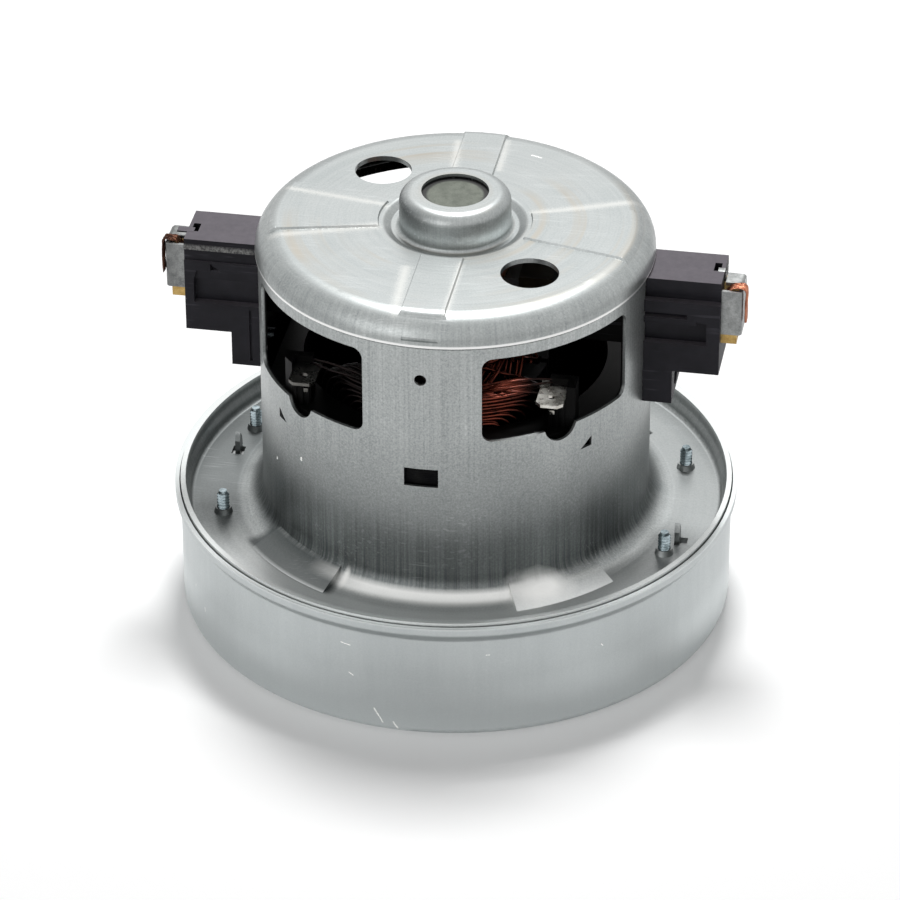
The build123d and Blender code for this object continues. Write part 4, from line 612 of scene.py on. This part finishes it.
# Plastics and rubber
holderPlastic = mouldedPlastic(
    "holderPlastic", dark=(0.015, 0.0145, 0.018), light=(0.028, 0.027, 0.033), rough=(0.42, 0.55),
    # Dust with a painted sheen on the faces that look up
    specular=0.1, dustAndSheen=0.9, dustAndSheenColour=(0.15, 0.137, 0.155),
    # Strips of painted light on the left holder's front
    strips=[(90.0, 92.5, (0.3, 0.3, 0.29)), (87.7, 89.7, (0.12, 0.12, 0.12))],
)
# Insulators: black plastic, made darker still as painted shade inside the can
insulatorPlastic = mouldedPlastic(
    "insulatorPlastic", dark=(0.0015, 0.0015, 0.002), light=(0.004, 0.004, 0.0045), rough=(0.3, 0.45),
    specular=0.06, dustAndSheen=0.02, dustAndSheenColour=(0.05, 0.05, 0.055),
)
diffuserPlastic = mouldedPlastic(
    "diffuserPlastic", dark=(0.03, 0.03, 0.032), light=(0.055, 0.055, 0.058), rough=(0.4, 0.55), specular=0.4,
    dustAndSheen=0.3, dustAndSheenColour=(0.12, 0.12, 0.12),
)
hubPlastic = mouldedPlastic(
    "hubPlastic", dark=(0.05, 0.025, 0.015), light=(0.10, 0.05, 0.03), rough=(0.35, 0.5), specular=0.4,
    dustAndSheen=0.1, dustAndSheenColour=(0.1, 0.1, 0.1),
)
cagePlastic = mouldedPlastic(
    "cagePlastic", dark=(0.12, 0.1, 0.06), light=(0.2, 0.17, 0.11), rough=(0.35, 0.5), specular=0.4,
    dustAndSheen=0.0, dustAndSheenColour=(0.1, 0.1, 0.1),
)
damperRubber = mouldedPlastic(
    "damperRubber", dark=(0.012, 0.012, 0.012), light=(0.025, 0.025, 0.025), rough=(0.6, 0.75), specular=0.25,
    dustAndSheen=0.2, dustAndSheenColour=(0.08, 0.08, 0.08),
)

# Which finish each CAD node gets
finishes = {
    capZinc: ["upper_bracket"],
    canZinc: ["motor_frame"],
    panZinc: ["fan_cover"],
    bracketZinc: ["lower_bracket", "bearing_retainer"],
    screwZinc: ["flange_screws", "holder_screws"],
    clipSteel: ["brush_clip_left", "brush_clip_right"],
    discPaint: ["bearing_cover_disc"],
    coreSteel: ["stator_core", "armature_core"],
    bearingSteel: [f"{side}_bearing_{part}" for side in ("upper", "lower")
                   for part in ("outer_ring", "inner_ring", "balls", "shields")],
    springSteel: ["preload_washer", "brush_spring_left", "brush_spring_right"],
    shaftSteel: ["shaft", "impeller_nut", "impeller_washer", "impeller_spacer"],
    tubeBrass: ["brush_tube_left", "brush_tube_right"],
    tinPlate: ["terminal_blade_left", "terminal_blade_right"],
    fanAluminium: ["impeller_front_plate", "impeller_vanes", "impeller_back_plate"],
    barCopper: ["commutator_bars"],
    wireCopper: ["field_coil_front", "field_coil_rear", "armature_winding"],
    bareCopper: ["brush_lead_left", "brush_lead_right"],
    carbonBlack: ["carbon_brush_left", "carbon_brush_right"],
    holderPlastic: ["brush_holder_left", "brush_holder_right"],
    insulatorPlastic: ["stator_insulator_top", "stator_insulator_bottom"],
    diffuserPlastic: ["diffuser"],
    hubPlastic: ["commutator_hub"],
    cagePlastic: ["upper_bearing_cage", "lower_bearing_cage"],
    damperRubber: ["bearing_damper"],
}
for material, names in finishes.items():
    for name in names:
        if not nodes[name].material_slots:
            nodes[name].data.materials.append(material)
        for slot in nodes[name].material_slots:
            slot.material = material
print("finishes given to", sum(len(names) for names in finishes.values()), "of", len(nodes), "nodes")


# Wire pieces: round wires along paths in mm, made a mesh
def wirePiece(name, paths, radius, material, body, closed=False, sides=1, replaced=()):
    curve = bpy.data.curves.new(name + "Line", "CURVE")
    curve.dimensions = "3D"
    curve.bevel_depth = radius * mm
    curve.bevel_resolution = sides
    curve.use_fill_caps = not closed
    for points in paths:
        spline = curve.splines.new("POLY")
        spline.points.add(len(points) - 1)
        for point, place in zip(spline.points, points):
            point.co = (place[0] * mm, place[1] * mm, place[2] * mm, 1.0)
        spline.use_cyclic_u = closed
    maker = bpy.data.objects.new(name + "Line", curve)
    bpy.context.scene.collection.objects.link(maker)
    bpy.context.view_layer.update()
    mesh = bpy.data.meshes.new_from_object(maker.evaluated_get(bpy.context.evaluated_depsgraph_get()))
    bpy.data.objects.remove(maker)
    mesh.name = name
    for polygon in mesh.polygons:
        polygon.use_smooth = True
    mesh.materials.clear()
    mesh.materials.append(material)
    piece = bpy.data.objects.new(name, mesh)
    bpy.context.scene.collection.objects.link(piece)
    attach(piece, body)
    if replaced:
        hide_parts(*replaced)
    return piece


def onCylinder(radius, angle, height):
    return (radius * math.cos(math.radians(angle)), radius * math.sin(math.radians(angle)), height)


# Field coils: turns laid side by side and in layers round each pole's neck
fieldCoil = {
    "innerRadius": 28.6, "layerStep": 0.86, "layers": 8, "turns": 8,
    "windowAngle": 26.1, "outerAngle": 54.0, "windowLow": 34.8, "windowHigh": 65.2,
    "endLow": 27.2, "endHigh": 72.8, "wireRadius": 0.44, "looseness": 0.16, "inwardShare": 0.5,
    "corner": 3.0, "cornerGrowth": 5, "cornerSteps": 4, "pointSpacing": 4,
    "middles": {"front": -90, "rear": 90},
}


def coilTurn(coil, middle, layer, turn):
    radius = coil["innerRadius"] + coil["wireRadius"] + layer * coil["layerStep"]
    share = (turn + 0.5) / coil["turns"]
    halfAngle = coil["windowAngle"] + share * (coil["outerAngle"] - coil["windowAngle"])
    low = coil["windowLow"] + share * (coil["endLow"] - coil["windowLow"])
    high = coil["windowHigh"] + share * (coil["endHigh"] - coil["windowHigh"])
    halfWidth = math.radians(halfAngle) * radius
    corner = coil["corner"] + share * coil["cornerGrowth"]
    points = []
    for centreX, centreZ, start in (
        (halfWidth - corner, high - corner, 0), (corner - halfWidth, high - corner, 90),
        (corner - halfWidth, low + corner, 180), (halfWidth - corner, low + corner, 270),
    ):
        for step in range(coil["cornerSteps"] + 1):
            turned = math.radians(start + step * 90 / coil["cornerSteps"])
            points.append((centreX + corner * math.cos(turned), centreZ + corner * math.sin(turned)))
    # More points along the straight sides, so that the ends follow the cylinder
    filled = []
    for number, point in enumerate(points):
        following = points[(number + 1) % len(points)]
        filled.append(point)
        extra = int(math.dist(point, following) // coil["pointSpacing"])
        for step in range(1, extra + 1):
            part = step / (extra + 1)
            filled.append(tuple(a + (b - a) * part for a, b in zip(point, following)))
    # Each turn wanders a little of its own
    loop = []
    wander = [random.uniform(-1, 1) for _ in range(4)]
    for number, (along, height) in enumerate(filled):
        phase = 2 * math.pi * number / len(filled)
        shift = coil["looseness"] * (wander[0] * math.sin(phase) + wander[1] * math.cos(2 * phase))
        drift = coil["looseness"] * (wander[2] * math.cos(phase) + wander[3] * math.sin(3 * phase))
        angle = middle + math.degrees(along / radius)
        loop.append(onCylinder(radius + drift * coil["inwardShare"], angle, height + shift))
    return loop


for side, middle in fieldCoil["middles"].items():
    loops = [
        coilTurn(fieldCoil, middle, layer, turn)
        for layer in range(fieldCoil["layers"]) for turn in range(fieldCoil["turns"])
    ]
    wirePiece(f"coilWires_{side}", loops, fieldCoil["wireRadius"], wireCopper, "housing",
              closed=True, replaced=(f"field_coil_{side}",))
print("field coils wound")

# Armature winding: each coil runs from one slot to the fifth on, and round the shaft at both ends.
# The risers are the wires' hooks at the commutator's bars, as (radius, angle ahead, height)
armature = {
    "slots": 12, "span": 5, "wires": 7, "slotLow": 11.2, "slotHigh": 19.4, "sideSlack": 0.9,
    "low": 36.0, "high": 64.0, "endStart": 0.6, "endSteps": 12, "wireRadius": 0.4,
    "endRadius": 8.0, "endFan": 7.5, "endRadiusSlack": (-0.3, 0.6), "endBow": 1.6,
    "endRise": 7.0, "riseShare": (0.35, 0.6), "riseSlack": 0.3, "riseBow": 1.9, "riseReach": 0.93,
    "bars": 24,
    "riser": [(16.5, 14, 70.5), (15.4, 8, 72.6), (14.6, 2, 74.6), (14.2, 0, 75.6), (13.6, 2, 74.8),
              (14.6, 9, 72.0), (15.6, 14, 70.2)],
}
loops = []
slotStep = 360 / armature["slots"]
for slotNumber in range(armature["slots"]):
    startAngle = slotNumber * slotStep
    turned = armature["span"] * slotStep
    firstShare, laterShare = armature["riseShare"]
    riseShare = firstShare + laterShare * (slotNumber / armature["slots"])
    for wire in range(armature["wires"]):
        share = wire / (armature["wires"] - 1)
        radius = armature["slotLow"] + share * (armature["slotHigh"] - armature["slotLow"])
        sideways = math.degrees(random.uniform(-armature["sideSlack"], armature["sideSlack"]) / radius)
        endRadius = armature["endRadius"] + armature["endFan"] * share
        endRadius += random.uniform(*armature["endRadiusSlack"])
        rise = armature["endRise"] * riseShare + random.uniform(-armature["riseSlack"], armature["riseSlack"])
        rise = min(rise, armature["endRise"]) * armature["riseReach"]
        loop = []
        for end, level in ((1, armature["high"]), (-1, armature["low"])):
            for step in range(armature["endSteps"] + 1):
                part = step / armature["endSteps"] if end == 1 else 1 - step / armature["endSteps"]
                bow = math.sin(math.pi * part)
                away = radius + (endRadius - radius) * min(1, bow * armature["endBow"])
                height = level + end * (armature["endStart"] + rise * min(1, bow * armature["riseBow"]))
                loop.append(onCylinder(away, startAngle + sideways + part * turned, height))
        loops.append(loop)
for bar in range(armature["bars"]):
    angle = (bar + 0.5) * 360 / armature["bars"]
    loops.append([onCylinder(radius, angle + ahead, height) for radius, ahead, height in armature["riser"]])
wirePiece("armatureWires", loops, armature["wireRadius"], wireCopper, "rotor", closed=True,
          replaced=("armature_winding",))
print("armature wound")

# Lead wires from the coil ends to the terminal tabs, a little loose
leadWires = {
    "radius": 0.28,
    "paths": [
        [(9, -31.5, 72.5), (15, -31.8, 74.6), (20, -30.6, 75.2), (25, -28.0, 75.0), (28.0, -25.6, 74.4)],
        [(11, -31.0, 72.8), (16, -31.0, 75.8), (21, -29.4, 76.4), (26, -26.8, 75.6), (29.5, -25.4, 74.5)],
        [(14, -30.0, 72.6), (18, -30.8, 73.8), (23, -29.6, 73.4), (26, -28.4, 73.0), (27.2, -26.8, 73.9)],
        [(-12, -31.0, 72.8), (-18, -30.6, 75.2), (-24, -28.6, 75.6), (-29, -26.0, 74.8)],
        [(-15, -30.2, 72.6), (-20, -30.2, 74.0), (-25, -28.8, 74.2), (-30, -25.6, 74.2)],
    ],
}


def smoothPath(points, steps=8):
    # A gentle line through the stated points
    line = []
    for number in range(len(points) - 1):
        before = Vector(points[max(0, number - 1)])
        start = Vector(points[number])
        end = Vector(points[number + 1])
        after = Vector(points[min(len(points) - 1, number + 2)])
        for step in range(steps):
            t = step / steps
            line.append(tuple(0.5 * (
                2 * start + (end - before) * t + (2 * before - 5 * start + 4 * end - after) * t ** 2
                + (3 * start - before - 3 * end + after) * t ** 3
            )))
    line.append(tuple(points[-1]))
    return line


wirePiece("terminalLeads", [smoothPath(path) for path in leadWires["paths"]], leadWires["radius"], wireCopper,
          "housing", sides=2)

# Brush leads: a bundle of fine bare strands, over the clip's edge and down its face
brushLead = {
    "strands": 30, "strandRadius": 0.11, "halfSpread": 1.35, "spreadShare": 0.75, "twistShare": 0.3,
    "halfThickness": 0.2, "twist": 1.5, "stepsPerPoint": 7,
    "line": [(64.6, -3.7, 89.6), (65.8, -3.7, 90.9), (67.2, -3.7, 91.2), (68.6, -3.7, 91.1),
             (69.2, -3.7, 90.0), (69.15, -3.7, 87.0), (69.15, -3.7, 82.2)],
}
for side, sign in (("right", 1), ("left", -1)):
    spine = smoothPath([(sign * x, y, z) for x, y, z in brushLead["line"]], brushLead["stepsPerPoint"])
    strands = []
    for _ in range(brushLead["strands"]):
        place = random.uniform(-1, 1)
        start = random.uniform(0, 2 * math.pi)
        strandPath = []
        for number, point in enumerate(spine):
            ahead = Vector(spine[min(number + 1, len(spine) - 1)]) - Vector(spine[max(number - 1, 0)])
            across = ahead.normalized().cross(Vector((0, 1, 0))).normalized()
            turned = start + brushLead["twist"] * 2 * math.pi * number / (len(spine) - 1)
            sideways = place * brushLead["spreadShare"] + brushLead["twistShare"] * math.cos(turned)
            offset = across * (math.sin(turned) * brushLead["halfThickness"])
            offset += Vector((0, 1, 0)) * sideways * brushLead["halfSpread"]
            strandPath.append(tuple(Vector(point) + offset))
        strands.append(strandPath)
    wirePiece(f"leadStrands_{side}", strands, brushLead["strandRadius"], bareCopper, "housing",
              replaced=(f"brush_lead_{side}",))

# Brush springs: real coils
spring = {
    "start": 36.65, "end": 67.4, "radius": 2.8, "wire": 0.4, "turns": 15, "stepsPerTurn": 12, "height": 82.5,
    "travel": 4,
}
springLength = spring["end"] - spring["start"]
for side, sign in (("right", 1), ("left", -1)):
    coilPath = []
    steps = spring["turns"] * spring["stepsPerTurn"]
    for step in range(steps + 1):
        part = step / steps
        turned = 2 * math.pi * spring["turns"] * part
        along = spring["start"] + spring["wire"] + part * (springLength - 2 * spring["wire"])
        height = spring["height"] + spring["radius"] * math.sin(turned)
        coilPath.append((sign * along, spring["radius"] * math.cos(turned), height))
    piece = wirePiece(f"springCoil_{side}", [coilPath], spring["wire"], springSteel, "housing",
                      replaced=(f"brush_spring_{side}",))
    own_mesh(piece)
print("wires, leads and springs made")


def blockPiece(name, blocks, bevel, material, body):
    # Small blocks with rounded edges in one piece, each between two corners in mm
    mesh = bpy.data.meshes.new(name)
    shape = bmesh.new()
    for low, high in blocks:
        corners = bmesh.ops.create_cube(shape, size=1.0)["verts"]
        bmesh.ops.scale(shape, vec=[(b - a) * mm for a, b in zip(low, high)], verts=corners)
        bmesh.ops.translate(shape, vec=[(a + b) / 2 * mm for a, b in zip(low, high)], verts=corners)
    bmesh.ops.bevel(shape, geom=shape.edges[:], offset=bevel * mm, segments=3, profile=0.5,
                    affect="EDGES", material=-1)
    shape.to_mesh(mesh)
    shape.free()
    mesh.materials.append(material)
    for polygon in mesh.polygons:
        polygon.use_smooth = True
    piece = bpy.data.objects.new(name, mesh)
    bpy.context.scene.collection.objects.link(piece)
    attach(piece, body)
    return piece


# Tinned pins that lock the tabs in their posts
tabPin = {
    "halfWidth": 0.6, "low": 68.5, "high": 69.6, "face": -30.75, "root": -29.9, "bevel": 0.15,
    "places": {"right": 27.9, "left": -29.9},
}
for side, x in tabPin["places"].items():
    lowCorner = (x - tabPin["halfWidth"], tabPin["face"], tabPin["low"])
    highCorner = (x + tabPin["halfWidth"], tabPin["root"], tabPin["high"])
    blockPiece(f"tabPin_{side}", [(lowCorner, highCorner)], tabPin["bevel"], tinPlate, "housing")

# Tongues on the holders' tops: the right one is the clip's and bends down over the end, the left one is
# moulded and lies flat
clipTongue = {
    "bevel": 0.08,
    "right": [((61.9, -0.9, 92.55), (63.9, 0.9, 92.95)), ((63.5, -0.9, 90.4), (63.9, 0.9, 92.95))],
    "left": [((-65.9, -3.5, 92.55), (-61.9, -1.3, 92.95))],
}
blockPiece("clipTongue_right", clipTongue["right"], clipTongue["bevel"], clipSteel, "housing")
blockPiece("clipTongue_left", clipTongue["left"], clipTongue["bevel"], holderPlastic, "housing")
print("tab pins and clip tongues made")

# Floor, light and background
studio = {
    "floorSize": 8.0, "floorColour": (0.85, 0.85, 0.85), "floorRoughness": 0.9, "floorSpecular": 0.1,
    "floorGlow": 0.16, "worldLight": 0.20, "backdrop": 1.0, "aim": (0, 0, 0.05),
    "keyPlace": (-0.03, 0.50, 1.22), "keySize": 0.3, "keyWatts": 15.5,
    "fillPlace": (-0.6, -1.1, 0.3), "fillSize": 1.1, "fillWatts": 3.6,
}


def backgroundRays(tree):
    # 1 for the rays that show the background: straight from the camera, or off metal and through glass
    lightPath = tree.nodes.new("ShaderNodeLightPath")
    seen = mathNode(tree, "MAXIMUM", lightPath.outputs["Is Camera Ray"], lightPath.outputs["Is Glossy Ray"])
    return mathNode(tree, "MAXIMUM", seen, lightPath.outputs["Is Transmission Ray"])


floorMesh = bpy.data.meshes.new("studioFloor")
shape = bmesh.new()
bmesh.ops.create_grid(shape, x_segments=1, y_segments=1, size=studio["floorSize"] / 2)
shape.to_mesh(floorMesh)
shape.free()
floor = bpy.data.objects.new("studioFloor", floorMesh)
bpy.context.scene.collection.objects.link(floor)

# The paper takes the shadow, and glows a little only where it is seen
floorPaper = bpy.data.materials.new("floorPaper")
floorPaper.use_nodes = True
tree = floorPaper.node_tree
paper = tree.nodes["Principled BSDF"]
paper.inputs["Base Color"].default_value = (*studio["floorColour"], 1)
paper.inputs["Roughness"].default_value = studio["floorRoughness"]
paper.inputs["Specular IOR Level"].default_value = studio["floorSpecular"]
glow = tree.nodes.new("ShaderNodeEmission")
tree.links.new(mathNode(tree, "MULTIPLY", backgroundRays(tree), studio["floorGlow"]), glow.inputs["Strength"])
both = tree.nodes.new("ShaderNodeAddShader")
tree.links.new(paper.outputs[0], both.inputs[0])
tree.links.new(glow.outputs[0], both.inputs[1])
tree.links.new(both.outputs[0], tree.nodes["Material Output"].inputs["Surface"])
floorMesh.materials.append(floorPaper)

world = bpy.data.worlds.new("studioWorld")
bpy.context.scene.world = world
world.use_nodes = True
tree = world.node_tree
sky = tree.nodes["Background"]
sky.inputs["Color"].default_value = (1, 1, 1, 1)
skyStrength = blendValues(tree, backgroundRays(tree), studio["worldLight"], studio["backdrop"])
tree.links.new(skyStrength, sky.inputs["Strength"])


def softBox(name, place, size, watts):
    data = bpy.data.lights.new(name, "AREA")
    data.shape = "SQUARE"
    data.size = size
    data.energy = watts
    lamp = bpy.data.objects.new(name, data)
    lamp.location = place
    lamp.rotation_euler = (Vector(studio["aim"]) - Vector(place)).to_track_quat("-Z", "Y").to_euler()
    lamp.visible_camera = False
    bpy.context.scene.collection.objects.link(lamp)


softBox("keyBox", studio["keyPlace"], studio["keySize"], studio["keyWatts"])
softBox("fillBox", studio["fillPlace"], studio["fillSize"], studio["fillWatts"])
print("studio set")
